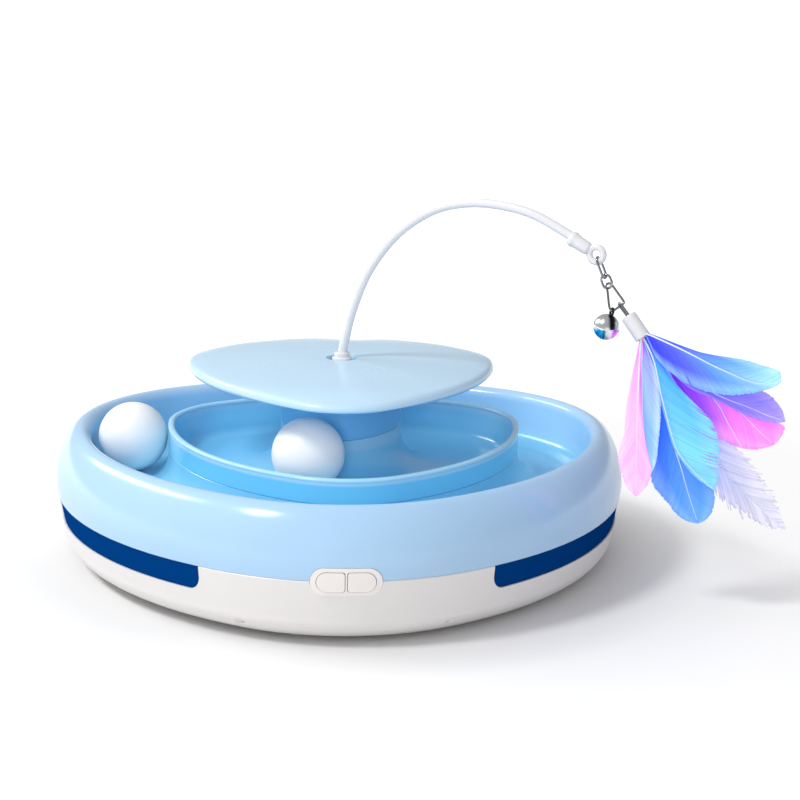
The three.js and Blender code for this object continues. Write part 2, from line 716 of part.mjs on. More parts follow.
const chargeBoard = block(
  [-11, 11],
  [-socketFace + 5, -socketFace + 20],
  [chargeBoardTop - boardThickness, chargeBoardTop],
);
place('charge_board', chargeBoard, 'green', { turn: cornerTurn(1) });
const socketBody = cut(
  block(
    [-socketWidth / 2, socketWidth / 2],
    [-socketFace, -socketFace + socketDepth],
    [socketMiddle - socketHeight / 2, socketMiddle + socketHeight / 2],
  ),
  block(
    [-socketWidth / 2 + 0.5, socketWidth / 2 - 0.5],
    [-socketFace - 1, -socketFace + socketDepth - 1.2],
    [socketMiddle - socketHeight / 2 + 0.5, socketMiddle + socketHeight / 2 - 0.5],
  ),
);
place('charge_socket', socketBody, 'steel', { turn: cornerTurn(1) });

// Teaser: shaft, hub and wire
const hubLow = wellFloor + fitGap + bushFlange + 0.8;
const hubTop = hubLow + hubHeight;
const shaftTop = hubLow + 3.5;
place('drive_shaft', rod(shaftRadius, shaftLow, shaftTop), 'steel', { parent: teaser });
const hub = turned([
  [0, shaftTop + fitGap],
  [shaftRadius + fitGap, shaftTop + fitGap],
  [shaftRadius + fitGap, hubLow],
  [hubRadius - 0.6, hubLow],
  [hubRadius, hubLow + 1],
  [hubRadius + 0.1, hubTop - 3.4],
  [hubRadius - 0.4, hubTop - 2.2],
  [hubRadius - 1.1, hubTop - 1.9],
  [hubRadius - 1, hubTop - 1],
  [hubRadius - 1.5, hubTop],
  [wireRadius + fitGap, hubTop],
  [wireRadius + fitGap, shaftTop + 1.6],
  [0, shaftTop + 1.6],
]);
place('wire_hub', hub, 'white', { parent: teaser });

const inPlane = (x, z, y = 0) => new THREE.Vector3(x, y, z);
const wirePath = new THREE.CatmullRomCurve3([
  inPlane(0, shaftTop + 1.9),
  inPlane(0, hubTop - 1.5),
  inPlane(1.6, 98),
  inPlane(5.6, 112),
  inPlane(13.5, 129),
  inPlane(26.3, 145.2),
  inPlane(42, 156.4),
  inPlane(57, 161.2),
  inPlane(73, 162),
  inPlane(90, 159.2),
  inPlane(107, 151.8),
  inPlane(111, 149.3),
]);
const wireSection = new THREE.Shape();
wireSection.absarc(0, 0, wireRadius, 0, 2 * Math.PI);
const wire = new THREE.ExtrudeGeometry(wireSection, { steps: 30, extrudePath: wirePath, curveSegments: 4 });
place('teaser_wire', wire, 'white', { parent: teaser });

// Socket on the wire's end, with the eyelet that the chain hangs from
const eyelet = inPlane(118.9, 145.2);
const wireEnd = wirePath.getPoint(1);
const socketAxis = eyelet.clone().sub(wireEnd).normalize();
const alongSocket = new THREE.Quaternion().setFromUnitVectors(new THREE.Vector3(0, 0, 1), socketAxis);
const sleeveLow = -4.5; // the wire goes this far into the sleeve
const sleeveHigh = 5;
const neckEnd = eyelet.distanceTo(wireEnd) - eyeletRing;
const sleeve = turned([
  [0, 0.3],
  [wireRadius + 0.3, 0.3],
  [wireRadius + 0.3, sleeveLow],
  [2.9, sleeveLow],
  [3.3, sleeveLow + 0.8],
  [2.7, sleeveHigh - 0.6],
  [2.2, sleeveHigh],
  [1.4, neckEnd],
  [0, neckEnd],
]);
sleeve.applyQuaternion(alongSocket).translate(...wireEnd.toArray());
const eyeletGeometry = new THREE.TorusGeometry(eyeletRing, eyeletWire, 8, 16).rotateX(Math.PI / 2);
eyeletGeometry.translate(...eyelet.toArray());
const eyeletHole = new THREE.CylinderGeometry(1.7, 1.7, 8, 16).translate(...eyelet.toArray());
place('wire_socket', cut(join(sleeve, eyeletGeometry), eyeletHole), 'white', { parent: teaser });

// A closed loop of thin wire: points in a plane, with the plane's normal
function wireLoop(points, normal, radius = linkWire, sides = 5) {
  const sections = points.map((point, i) => {
    const ahead = points[(i + 1) % points.length];
    const behind = points[(i + points.length - 1) % points.length];
    const out = ahead.clone().sub(behind).cross(normal).normalize();
    return Array.from({ length: sides }, (_, k) => {
      const a = (2 * Math.PI * k) / sides;
      const offset = out.clone().multiplyScalar(radius * Math.cos(a));
      return point.clone().add(offset).addScaledVector(normal, radius * Math.sin(a)).toArray();
    });
  });
  return loft(sections, true);
}

// A chain link: a long ring from one end point to the other, as wide as it is told
function link(from, to, side, halfWidth, count = 6) {
  const along = to.clone().sub(from).normalize();
  const length = from.distanceTo(to);
  const points = [];
  for (let end = 0; end < 2; end++) {
    for (let i = 0; i < count; i++) {
      const a = (Math.PI * i) / (count - 1) + end * Math.PI;
      const reach = Math.min(halfWidth, length / 2);
      const centre = end ? length - reach : reach;
      points.push(
        from
          .clone()
          .addScaledVector(along, centre - reach * Math.sin(a))
          .addScaledVector(side, -halfWidth * Math.cos(a)),
      );
    }
  }
  return wireLoop(points, along.clone().cross(side).normalize());
}

// The chain: each link hangs in the last, turned across it
const across = new THREE.Vector3(0, 1, 0);
const direction = (x, z) => inPlane(x, z).normalize();
const fall = direction(0.417, -0.909);
const slant = direction(0.663, -0.749);
const linkOneTop = eyelet.clone().addScaledVector(fall, 1.15);
const linkOneEnd = eyelet.clone().addScaledVector(fall, 10.3);
place('link_one', link(linkOneTop, linkOneEnd, across, 2), 'steel', { parent: teaser });
const inPlaneSide = fall.clone().cross(across).normalize();
const linkTwoTop = linkOneEnd.clone().addScaledVector(fall, -linkGap);
const linkTwoEnd = linkTwoTop.clone().addScaledVector(fall, 5.6);
place('link_two', link(linkTwoTop, linkTwoEnd, inPlaneSide, 1.9), 'steel', { parent: teaser });

// The clasp: a tear-shaped loop seen at a slant, with one side straight and one bowed
const claspLength = 9.9;
const claspTilt = 42 * degree;
const claspTop = linkTwoEnd.clone().addScaledVector(fall, -linkGap);
const claspSide = slant
  .clone()
  .cross(across)
  .multiplyScalar(Math.cos(claspTilt))
  .addScaledVector(across, Math.sin(claspTilt));
const onClasp = (s, w) => claspTop.clone().addScaledVector(slant, s).addScaledVector(claspSide, w);
const claspOutline = [
  [1.2, 1.45],
  [0.1, 1.3],
  [-0.6, 0.6],
  [-0.6, -0.6],
  [0.2, -1.35],
  [1.4, -1.6],
  [3.4, -3.2],
  [6.2, -5.4],
  [8.3, -6.5],
  [9.5, -6.4],
  [claspLength, -5.3],
  [claspLength, -2.2],
  [claspLength, 0.4],
  [9, 1.4],
  [5, 1.45],
];
const clasp = claspOutline.map(([s, w]) => onClasp(s, w));
place('clasp', wireLoop(clasp, slant.clone().cross(claspSide).normalize()), 'steel', { parent: teaser });

// Bell: a slotted ball with its own ring, which hangs a little askew in the clasp's corner
const bellRing = 1.55;
const bellTilt = 13 * degree;
const bellHang = onClasp(claspLength, -5);
const bellWall = 0.7;
const bellMiddle = linkGap - bellRing * 2 - bellRadius - 0.2;
const bellBody = new THREE.SphereGeometry(bellRadius, 16, 10).rotateX(Math.PI / 2);
const bellHollow = new THREE.SphereGeometry(bellRadius - bellWall, 12, 8).rotateX(Math.PI / 2);
const bellSlot = new THREE.BoxGeometry(7, 0.9, 3.5).translate(0, 0, -bellRadius);
const bellLug = new THREE.TorusGeometry(bellRing, linkWire, 5, 12);
bellLug.rotateX(Math.PI / 2).rotateZ(-50 * degree).translate(0, 0, linkGap - bellRing - bellMiddle);
const hangBell = (geometry) =>
  geometry.translate(0, 0, bellMiddle).rotateY(bellTilt).translate(...bellHang.toArray());
const bell = join(cut(bellBody, bellHollow, bellSlot), cut(bellLug, bellHollow));
place('bell', hangBell(bell), 'steel', { parent: teaser });
const clapperRadius = 1.6;
const clapper = new THREE.SphereGeometry(clapperRadius, 10, 8);
clapper.translate(0, 0, clapperRadius + bellWall + fitGap - bellRadius);
place('bell_clapper', hangBell(clapper), 'steel', { parent: teaser });

// Ferrule that gathers the feathers, with the wire loop in its top
const ferruleTop = inPlane(133.8, 121.2);
const ferruleAxis = direction(0.63, -0.775);
const alongFerrule = new THREE.Quaternion().setFromUnitVectors(new THREE.Vector3(0, 0, 1), ferruleAxis);
const ferrule = turned([
  [0, 0],
  [ferruleRadius - 0.5, 0],
  [ferruleRadius, 0.5],
  [ferruleRadius, ferruleLength - 0.4],
  [ferruleRadius - 0.4, ferruleLength],
  [ferruleRadius - ferruleWall, ferruleLength],
  [ferruleRadius - ferruleWall, ferruleLength - ferruleMouth],
  [0, ferruleLength - ferruleMouth],
]);
ferrule.applyQuaternion(alongFerrule).translate(...ferruleTop.toArray());
const hookTop = onClasp(claspLength - linkGap, -0.8);
const hookFoot = ferruleTop.clone().addScaledVector(ferruleAxis, 1);
const hookSide = hookFoot.clone().sub(hookTop).cross(claspSide).normalize();
const hook = link(hookTop, hookFoot, hookSide, 1.3);
place('ferrule', join(ferrule, hook), 'white', { parent: teaser });

// Feathers: thin tapered blades that fan out of the ferrule, in layers one behind the other
const mouth = ferruleTop.clone().addScaledVector(ferruleAxis, ferruleLength - ferruleMouth + fitGap);
const mouthSide = ferruleAxis.clone().cross(across).normalize();
const bladeThickness = 0.8;
const widthAlong = [0.4, 0.5, 1.2, 3, 5.6, 7.4, 8.6, 9, 8.6, 6.4, 1];
function feather({ seat, middle, tip, layer, width }) {
  const start = mouth.clone().addScaledVector(mouthSide, seat[0]).addScaledVector(across, seat[1]);
  const leave = start.clone().addScaledVector(ferruleAxis, ferruleMouth);
  const path = new THREE.CatmullRomCurve3([
    start,
    leave,
    inPlane(middle[0], middle[1], layer),
    inPlane(tip[0], tip[1], layer * 1.3),
  ]);
  const last = widthAlong.length - 1;
  const out = (ferruleMouth + 0.5) / path.getLength(); // where the quill has left the ferrule
  const sections = widthAlong.map((share, i) => {
    const place = i ? THREE.MathUtils.lerp(out, 1, (i - 1) / (last - 1)) : 0;
    const point = path.getPointAt(place);
    const side = path.getTangentAt(place).cross(across).normalize();
    const half = Math.max(0.35, (share / 9) * width * 0.5);
    const thick = bladeThickness / 2;
    return [
      point.clone().addScaledVector(side, half).toArray(),
      point.clone().addScaledVector(across, thick).toArray(),
      point.clone().addScaledVector(side, -half).toArray(),
      point.clone().addScaledVector(across, -thick).toArray(),
    ];
  });
  return loft(sections);
}

const feathers = {
  pink: { seat: [-1, -1.4], middle: [142, 79.8], tip: [144.1, 47.6], layer: -7, width: 15, color: 0xf8bef5 },
  pale: { seat: [-1, -0.4], middle: [145.1, 81], tip: [150.5, 56.3], layer: -4, width: 13, color: 0xaacdf5 },
  blue: { seat: [-1, 0.6], middle: [149.7, 75.6], tip: [164.5, 37.5], layer: 1.5, width: 20, color: 0x508ceb },
  cyan: { seat: [1, -0.4], middle: [158.8, 79.4], tip: [173.5, 55.5], layer: -1.5, width: 20, color: 0x6ec8fa },
  sky: { seat: [1, -1.4], middle: [172.5, 99.6], tip: [202, 102], layer: -3, width: 20, color: 0x78b4f0 },
  violet: { seat: [1, 0.6], middle: [167.7, 95.8], tip: [199.5, 82], layer: 4.5, width: 14, color: 0x9678e6 },
  magenta: { seat: [1, 1.6], middle: [163.9, 89.4], tip: [194.6, 74.8], layer: 8, width: 20, color: 0xf082f0 },
  lilac: { seat: [-1, 1.6], middle: [161.8, 75.9], tip: [198.4, 36.5], layer: 12, width: 16, color: 0xe1def0 },
};
for (const [name, { color, ...form }] of Object.entries(feathers)) {
  place(`feather_${name}`, feather(form), { color, roughness: 0.7, metalness: 0 }, { parent: teaser });
}

export default toy;
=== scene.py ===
import math
import random

import bmesh
import bpy
from mathutils import Matrix, Quaternion, Vector


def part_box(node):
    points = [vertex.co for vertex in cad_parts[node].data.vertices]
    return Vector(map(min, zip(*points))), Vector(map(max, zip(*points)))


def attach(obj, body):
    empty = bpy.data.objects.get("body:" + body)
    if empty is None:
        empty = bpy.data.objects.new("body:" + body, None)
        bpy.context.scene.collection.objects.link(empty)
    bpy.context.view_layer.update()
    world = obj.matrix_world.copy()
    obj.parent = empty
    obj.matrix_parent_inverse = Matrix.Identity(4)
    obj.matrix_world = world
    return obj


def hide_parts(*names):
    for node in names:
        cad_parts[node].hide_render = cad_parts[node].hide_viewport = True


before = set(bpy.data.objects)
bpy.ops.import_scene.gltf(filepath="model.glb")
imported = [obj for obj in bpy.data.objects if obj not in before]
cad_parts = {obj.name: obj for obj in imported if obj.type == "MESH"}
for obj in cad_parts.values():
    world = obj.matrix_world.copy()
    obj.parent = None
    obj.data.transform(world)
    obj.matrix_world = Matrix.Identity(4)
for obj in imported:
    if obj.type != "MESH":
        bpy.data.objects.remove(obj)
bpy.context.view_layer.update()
mm = 0.001
scene = bpy.context.scene
scene.view_settings.view_transform = "Standard"
print("frame loaded")


# Camera, where the photograph was taken from
cameraPlace = {
    "position": (-17.7, -959.5, 289.4),
    "look": (0.0442, 0.9739, -0.2227),
    "roll": 0.843,
    "lens": 100.2,
}


def makeCamera():
    data = bpy.data.cameras.new("camera")
    data.lens = cameraPlace["lens"]
    data.sensor_width = 36
    data.clip_start = 0.05
    camera = bpy.data.objects.new("camera", data)
    scene.collection.objects.link(camera)
    camera.location = Vector(cameraPlace["position"]) * mm
    camera.rotation_mode = "QUATERNION"
    turn = Vector(cameraPlace["look"]).to_track_quat("-Z", "Y")
    roll = Quaternion((0, 0, 1), math.radians(cameraPlace["roll"]))
    camera.rotation_quaternion = turn @ roll
    scene.camera = camera


makeCamera()


# Colours are written as they look on a screen, from 0 to 255
def screen(red, green, blue):
    def linear(value):
        share = value / 255
        return share / 12.92 if share < 0.04045 else ((share + 0.055) / 1.055) ** 2.4

    return (linear(red), linear(green), linear(blue), 1)


def newMaterial(name):
    material = bpy.data.materials.new(name)
    material.use_nodes = True
    return material, material.node_tree, material.node_tree.nodes["Principled BSDF"]


# Fills a node's inputs by name or number: a socket is joined on, any other value is written in
def feed(tree, target, inputs):
    for key, value in inputs.items():
        if isinstance(value, bpy.types.NodeSocket):
            tree.links.new(value, target.inputs[key])
        else:
            target.inputs[key].default_value = value


def addNode(tree, kind, inputs, **settings):
    node = tree.nodes.new(f"ShaderNode{kind}")
    for key, value in settings.items():
        setattr(node, key, value)
    feed(tree, node, inputs)
    return node


def objectPlace(tree):
    return addNode(tree, "TexCoord", {}).outputs["Object"]


def noise(tree, vector, scale, detail):
    return addNode(tree, "TexNoise", {"Vector": vector, "Scale": scale, "Detail": detail}).outputs["Fac"]


def mixColours(tree, factor, first, second, blend="MIX"):
    inputs = {"Factor": factor, "A": first, "B": second}
    return addNode(tree, "Mix", inputs, data_type="RGBA", blend_type=blend).outputs["Result"]


def spread(tree, value, limits):
    return addNode(tree, "MapRange", {"Value": value, **limits}).outputs["Result"]


def combine(tree, operation, first, second):
    return addNode(tree, "Math", {0: first, 1: second}, operation=operation).outputs[0]


# A colour ramp from (place, colour) rows
def colourRun(tree, factor, rows):
    node = addNode(tree, "ValToRGB", {"Fac": factor})
    stops = node.color_ramp.elements
    for i, (place, colour) in enumerate(rows):
        stop = stops[0] if i == 0 else stops.new(place) if i < len(rows) - 1 else stops[len(stops) - 1]
        stop.position = place
        stop.color = colour
    return node.outputs["Color"]


# Moulded plastic: a hardly visible mottle in the colour, a changing gloss and a fine orange peel, and where
# told a painted shade deeper inside the toy
plasticFeel = {"cloud": 38, "polish": 0.05, "depth": 0.0004, "index": 1.48}


def mouldedPlastic(name, colour, deep=None, roughness=0.26, mottle=0.02, peel=0.02, grain=900, gloss=0.5):
    material, tree, shader = newMaterial(name)
    feel, place = plasticFeel, objectPlace(tree)
    cloud = noise(tree, place, feel["cloud"], 3)
    plain = screen(*colour)[:3]
    dark = [c * (1 - mottle) for c in plain] + [1]
    light = [min(1, c * (1 + mottle)) for c in plain] + [1]
    tone = mixColours(tree, cloud, dark, light)
    # 'deep' is painted shade: the insides of the toy are mixed towards a deeper blue by the 'inside'
    # attribute
    if deep:
        inside = addNode(tree, "Attribute", {}, attribute_name="inside").outputs["Fac"]
        tone = mixColours(tree, inside, tone, screen(*deep))
    limits = {"To Min": roughness - feel["polish"], "To Max": roughness + feel["polish"]}
    bump = {"Strength": peel, "Distance": feel["depth"], "Height": noise(tree, place, grain, 2)}
    normal = addNode(tree, "Bump", bump).outputs["Normal"]
    feed(tree, shader, {"Base Color": tone, "Roughness": spread(tree, cloud, limits), "IOR": feel["index"],
                        "Specular IOR Level": gloss, "Normal": normal})
    return material


# Metal: a fine brushing along one direction and a little unevenness
def workedMetal(name, colour, roughness=0.22, brushed=60):
    material, tree, shader = newMaterial(name)
    stretch = addNode(tree, "Mapping", {"Vector": objectPlace(tree), "Scale": (brushed, brushed, 1400)})
    lines = noise(tree, stretch.outputs["Vector"], 5, 4)
    gloss = spread(tree, lines, {"To Min": roughness * 0.7, "To Max": roughness * 1.4})
    plain = screen(*colour)
    tint = mixColours(tree, lines, [c * 0.9 for c in plain[:3]] + [1], plain)
    feed(tree, shader, {"Base Color": tint, "Roughness": gloss, "Metallic": 1})
    return material


# The 'deep' colours of the blue plastics are painted shade, for their insides away from the light
plastics = {
    "ringBlue": {"colour": (172, 208, 240), "deep": (132, 208, 244), "roughness": 0.2},
    "trayBlue": {"colour": (172, 222, 248), "deep": (116, 208, 248), "roughness": 0.2},
    "plateBlue": {"colour": (194, 225, 248), "deep": (128, 200, 246), "peel": 0},
    "shellWhite": {"colour": (230, 227, 226), "roughness": 0.32, "peel": 0.03},
    "buttonWhite": {"colour": (240, 234, 232), "roughness": 0.36, "peel": 0.04},
    "slotNavy": {"colour": (2, 60, 126), "roughness": 0.42, "peel": 0.01, "gloss": 0},
    "ballWhite": {"colour": (253, 253, 253), "roughness": 0.34, "mottle": 0.005},
    "wireWhite": {"colour": (228, 228, 232), "roughness": 0.25, "mottle": 0.01},
    "footRubber": {"colour": (52, 52, 55), "roughness": 0.7, "mottle": 0.1, "peel": 0.2},
    "darkPlastic": {"colour": (45, 47, 52), "roughness": 0.55, "mottle": 0.08, "peel": 0.15},
    "boardGreen": {"colour": (30, 105, 70), "roughness": 0.45, "mottle": 0.15, "peel": 0.1},
    "quill": {"colour": (232, 240, 255), "roughness": 0.45, "mottle": 0.05, "grain": 1500},
}
metals = {
    "steel": {"colour": (200, 203, 208)},
    "brass": {"colour": (205, 170, 95), "roughness": 0.3},
    "chrome": {"colour": (150, 150, 154), "roughness": 0.1, "brushed": 20},
}
finishes = {name: mouldedPlastic(name, **look) for name, look in plastics.items()}
finishes.update({name: workedMetal(name, **look) for name, look in metals.items()})
print("finishes made")


# Rounded-triangle outline: three corner arcs and three side arcs, each centred on the corner across
outline = {"reach": 41.2, "facets": 20}


def outlineSpot(facing, reach, offset):
    turn = (math.degrees(facing) + 120) % 360
    sector = int(turn / 60 + 1e-6) % 6
    corner = sector // 2 if sector % 2 == 0 else ((sector - 1) // 2 + 2) % 3
    radius = offset if sector % 2 == 0 else math.sqrt(3) * reach + offset
    centre = math.radians(-90 + 120 * corner)
    return (
        reach * math.cos(centre) + radius * math.cos(facing),
        reach * math.sin(centre) + radius * math.sin(facing),
    )


# The offset of the outline that runs through a point
def outlineOffset(x, y):
    reach = outline["reach"]
    apart = []
    for k in range(3):
        middle = math.radians(-90 + 120 * k)
        dx, dy = x - reach * math.cos(middle), y - reach * math.sin(middle)
        away = (math.degrees(math.atan2(dy, dx)) - math.degrees(middle) + 180) % 360 - 180
        if abs(away) <= 30:
            return math.hypot(dx, dy)
        apart.append(math.hypot(dx, dy))
    return max(apart) - math.sqrt(3) * reach


# Carries one loop along a profile of (offset, z) or (offset, z, reach) in millimetres by extruding it
def sweepRounded(profile, facets=None, bend=None):
    bm = bmesh.new()
    facing = bm.verts.layers.float.new("facing")
    bmesh.ops.create_circle(bm, cap_ends=False, radius=1, segments=6 * (facets or outline["facets"]))
    for vert in bm.verts:
        vert[facing] = math.atan2(vert.co.y, vert.co.x)

    def setLoop(verts, spot):
        offset, z, reach = spot if len(spot) == 3 else (*spot, outline["reach"])
        for vert in verts:
            x, y = outlineSpot(vert[facing], reach, offset)
            if offset <= 0:
                x, y = 0, 0
            vert.co = Vector(bend(x, y, offset, z) if bend else (x, y, z)) * mm

    setLoop(bm.verts, profile[0])
    edges = list(bm.edges)
    for spot in profile[1:]:
        made = bmesh.ops.extrude_edge_only(bm, edges=edges)["geom"]
        setLoop([g for g in made if isinstance(g, bmesh.types.BMVert)], spot)
        edges = [g for g in made if isinstance(g, bmesh.types.BMEdge) and g.is_boundary]
    bmesh.ops.remove_doubles(bm, verts=bm.verts, dist=1e-6)
    bmesh.ops.recalc_face_normals(bm, faces=bm.faces)
    return bm


def arc(start, end, count, centre, across, up=None, power=2):
    up = across if up is None else up
    spots = []
    for i in range(count + 1):
        a = math.radians(start + (end - start) * i / count)
        c, s = math.cos(a), math.sin(a)
        spots.append((
            centre[0] + across * math.copysign(abs(c) ** (2 / power), c),
            centre[1] + up * math.copysign(abs(s) ** (2 / power), s),
        ))
    return spots


def newPiece(name, bm):
    mesh = bpy.data.meshes.new(name)
    bm.to_mesh(mesh)
    bm.free()
    piece = bpy.data.objects.new(name, mesh)
    scene.collection.objects.link(piece)
    return piece


# Smooth faces, with hard edges where they fold by more than an angle in degrees
def shadeFaces(bm, sharp=32):
    for face in bm.faces:
        face.smooth = True
    for edge in bm.edges:
        edge.smooth = not (len(edge.link_faces) == 2 and edge.calc_face_angle(0) > math.radians(sharp))


def objectFrom(name, bm, material, sharp=32):
    shadeFaces(bm, sharp)
    piece = newPiece(name, bm)
    piece.data.materials.append(material)
    return piece


def seat(piece, body, nodes):
    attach(piece, body)
    if nodes:
        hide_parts(*nodes)


# Cuts or keeps what a tool covers, then drops the tool
def carve(piece, tool, operation="DIFFERENCE"):
    change = piece.modifiers.new("carve", "BOOLEAN")
    change.operation = operation
    change.solver = "EXACT"
    change.object = tool
    bpy.context.view_layer.update()
    ready = piece.evaluated_get(bpy.context.evaluated_depsgraph_get())
    mesh = bpy.data.meshes.new_from_object(ready)
    piece.modifiers.remove(change)
    old = piece.data
    piece.data = mesh
    mesh.name = old.name
    bpy.data.meshes.remove(old)
    bpy.data.objects.remove(tool)


def toolFrom(bm):
    return newPiece("tool", bm)


def moveBy(bm, place):
    bmesh.ops.translate(bm, vec=Vector(place) * mm, verts=bm.verts)


def resized(bm, size):
    bmesh.ops.scale(bm, vec=Vector(size) * mm, verts=bm.verts)
    return bm


# A block and an egg of a size in millimetres, to cut with
def blockOf(size):
    bm = bmesh.new()
    bmesh.ops.create_cube(bm, size=1)
    return resized(bm, size)


def eggOf(size):
    bm = bmesh.new()
    bmesh.ops.create_uvsphere(bm, u_segments=20, v_segments=12, radius=1)
    return resized(bm, size)


def turnUpright(bm, degrees):
    turn = Matrix.Rotation(math.radians(degrees), 3, "Z")
    bmesh.ops.rotate(bm, cent=(0, 0, 0), matrix=turn, verts=bm.verts)


# Extrudes a flat outline by one, so that its far side is known by its height
def thicken(bm):
    for vert in bmesh.ops.extrude_face_region(bm, geom=bm.faces[:])["geom"]:
        if isinstance(vert, bmesh.types.BMVert):
            vert.co.z = 1


def softenEdges(piece, width):
    bevel = piece.modifiers.new("soften", "BEVEL")
    bevel.width = width * mm
    bevel.segments = 2
    bevel.limit_method = "ANGLE"
    bevel.angle_limit = math.radians(40)


def reshade(piece):
    bm = bmesh.new()
    bm.from_mesh(piece.data)
    shadeFaces(bm)
    bm.to_mesh(piece.data)
    bm.free()


# Ten steps of a quarter turn, for the flares
quarter = [math.radians(9 * i) for i in range(11)]


# Writes how deep inside the toy each corner of a piece lies, for the painted shade in its colour
def paintInsideShade(piece, rule):
    layer = piece.data.attributes.new("inside", "FLOAT", "POINT")
    for vert, value in zip(piece.data.vertices, layer.data):
        x, y, z = vert.co / mm
        value.value = rule(outlineOffset(x, y), z)


def ramp(value, low, high):
    share = min(1, max(0, (value - low) / (high - low)))
    return share * share * (3 - 2 * share)


# Shells: heights and offsets of the base, ring, track and tray as on the solid model
shells = {
    "seam": 27.5, "widest": 33, "top": 55.6, "ringOffset": 91.4, "ringRound": 11.4, "ringCurve": 1.8,
    "lipRound": 3.6, "lipDrop": 4.6, "trackFloor": 32.2, "trackWall": 76.4, "fillet": 9, "wall": 2.4,
    "lean": 6.5, "bend": 1.5, "footWidth": 17, "footHeight": 11, "joint": 0.04,
    "trayAside": 1.5, "band": 43, "bandBottom": 45, "flareWidth": 9, "flareHeight": 12.4, "deck": 37.8,
}


def shellOffset(z):
    low = max(0, shells["widest"] - z) / shells["widest"]
    return shells["ringOffset"] - shells["lean"] * low ** shells["bend"]


# Windows in the base shell: a rectangle in angle and height, rounded below and wrapped round the axis
window = {"height": 10.55, "halfAngle": 32.2, "corner": 6.2, "middles": (-29.4, 90, 210.2), "inner": 84,
          "outer": 140, "wrap": 128, "sunk": 0.7, "thick": 3.4, "fit": 0.1}


def windowTool(middle, fit=0):
    bm = bmesh.new()
    perDegree = math.radians(1) * window["wrap"]
    half, corner = window["halfAngle"] * perDegree - fit, window["corner"]
    low, high = shells["seam"] - window["height"] + fit, shells["seam"] + 1
    bmesh.ops.create_grid(bm, x_segments=60, y_segments=1, size=1)
    for vert in bm.verts:
        share, top = vert.co.x, vert.co.y > 0
        turn = math.radians(90) * max(0, abs(share) - 0.7) / 0.3
        x = (half - corner) * min(1, abs(share) / 0.7) + corner * math.sin(turn)
        vert.co = Vector((math.copysign(x, share), high if top else low + corner * (1 - math.cos(turn)), 0))
    thicken(bm)
    for vert in bm.verts:
        a = math.radians(middle + vert.co.x / perDegree)
        r = window["inner"] if vert.co.z < 0.5 else window["outer"]
        vert.co = Vector((r * math.cos(a), r * math.sin(a), vert.co.y)) * mm
    bmesh.ops.recalc_face_normals(bm, faces=bm.faces)
    return toolFrom(bm)


# Pill frame and buttons at the front corner
buttons = {"width": 28.5, "height": 11.4, "proud": 0.7, "each": 11.1, "tall": 8, "between": 1.2, "gap": 0.3,
           "bezelDepth": 7, "buttonDepth": 9, "soft": 0.4, "flatEnd": 1.1, "fit": 0.12,
           "raised": 0.4, "back": -118, "front": -140}


# A prism through the front, from a rectangle with a rounding of its own at each end
def pillTool(left, right, tall, endLeft=None, endRight=None):
    bm = bmesh.new()
    bmesh.ops.create_circle(bm, cap_ends=True, radius=1, segments=64)
    turnUpright(bm, 180 / 64)
    for vert in bm.verts:
        c, n = vert.co.x, vert.co.y
        radius = (endLeft if c < 0 else endRight) or tall / 2 - 0.01
        x = (left + radius if c < 0 else right - radius) + radius * c
        vert.co = Vector((x, math.copysign(tall / 2 - radius, n) + radius * n, 0))
    thicken(bm)
    for vert in bm.verts:
        y = buttons["back" if vert.co.z < 0.5 else "front"]
        vert.co = Vector((vert.co.x, y, shells["seam"] + vert.co.y)) * mm
    bmesh.ops.recalc_face_normals(bm, faces=bm.faces)
    return toolFrom(bm)


# The pill's own opening through a shell
def carveOpening(piece):
    half = buttons["width"] / 2 + buttons["fit"]
    carve(piece, pillTool(-half, half, buttons["height"] + 2 * buttons["fit"]))


# Recess of the charge port and two small dimples low on the base
port = {"size": (9.6, 14, 4), "round": 1.8, "place": (0, -131, 9), "turn": 120}
dimples = {"size": (2.4, 2.2, 1.2), "height": 6.5, "turn": 23, "facing": 29, "out": 0.2}


def makeLowerShell():
    wall, foot = shells["wall"], shells["footHeight"]
    edge = shells["seam"] - shells["joint"]
    base = shellOffset(foot) - shells["footWidth"]
    outer = arc(-90, 0, 12, (base, foot), shells["footWidth"], foot)
    outer += [(shellOffset(z), z) for z in (12, 15, 18, 21, 24)]
    outer += [(shellOffset(edge), edge - 0.3), (shellOffset(edge) - 0.25, edge)]
    inner = [(shellOffset(edge) - wall, edge)] + [(shellOffset(z) - wall, z) for z in (24, 18, 12, foot + 1)]
    inner += [(base + 7, 4), (base - 2, wall)]
    bm = sweepRounded([(0, 0)] + outer + inner + [(0, wall)])
    shell = objectFrom("baseShell", bm, finishes["shellWhite"])
    for middle in window["middles"]:
        carve(shell, windowTool(middle))
    carveOpening(shell)
    socket = blockOf(port["size"])
    bmesh.ops.bevel(socket, geom=[e for e in socket.edges if abs(e.verts[0].co.y - e.verts[1].co.y) > mm],
                    offset=port["round"] * mm, segments=5, profile=0.5, affect="EDGES", material=-1)
    moveBy(socket, port["place"])
    turnUpright(socket, port["turn"])
    carve(shell, toolFrom(socket))
    height = dimples["height"]
    low = base + shells["footWidth"] * math.sqrt(1 - ((foot - height) / foot) ** 2)
    for side in (-1, 1):
        dimple = eggOf(dimples["size"])
        turnUpright(dimple, dimples["turn"] * side)
        facing = math.radians(-90 + dimples["facing"] * side)
        moveBy(dimple, (*outlineSpot(facing, outline["reach"], low + dimples["out"]), height))
        carve(shell, toolFrom(dimple))
    reshade(shell)
    seat(shell, "base", ["lower_shell"])


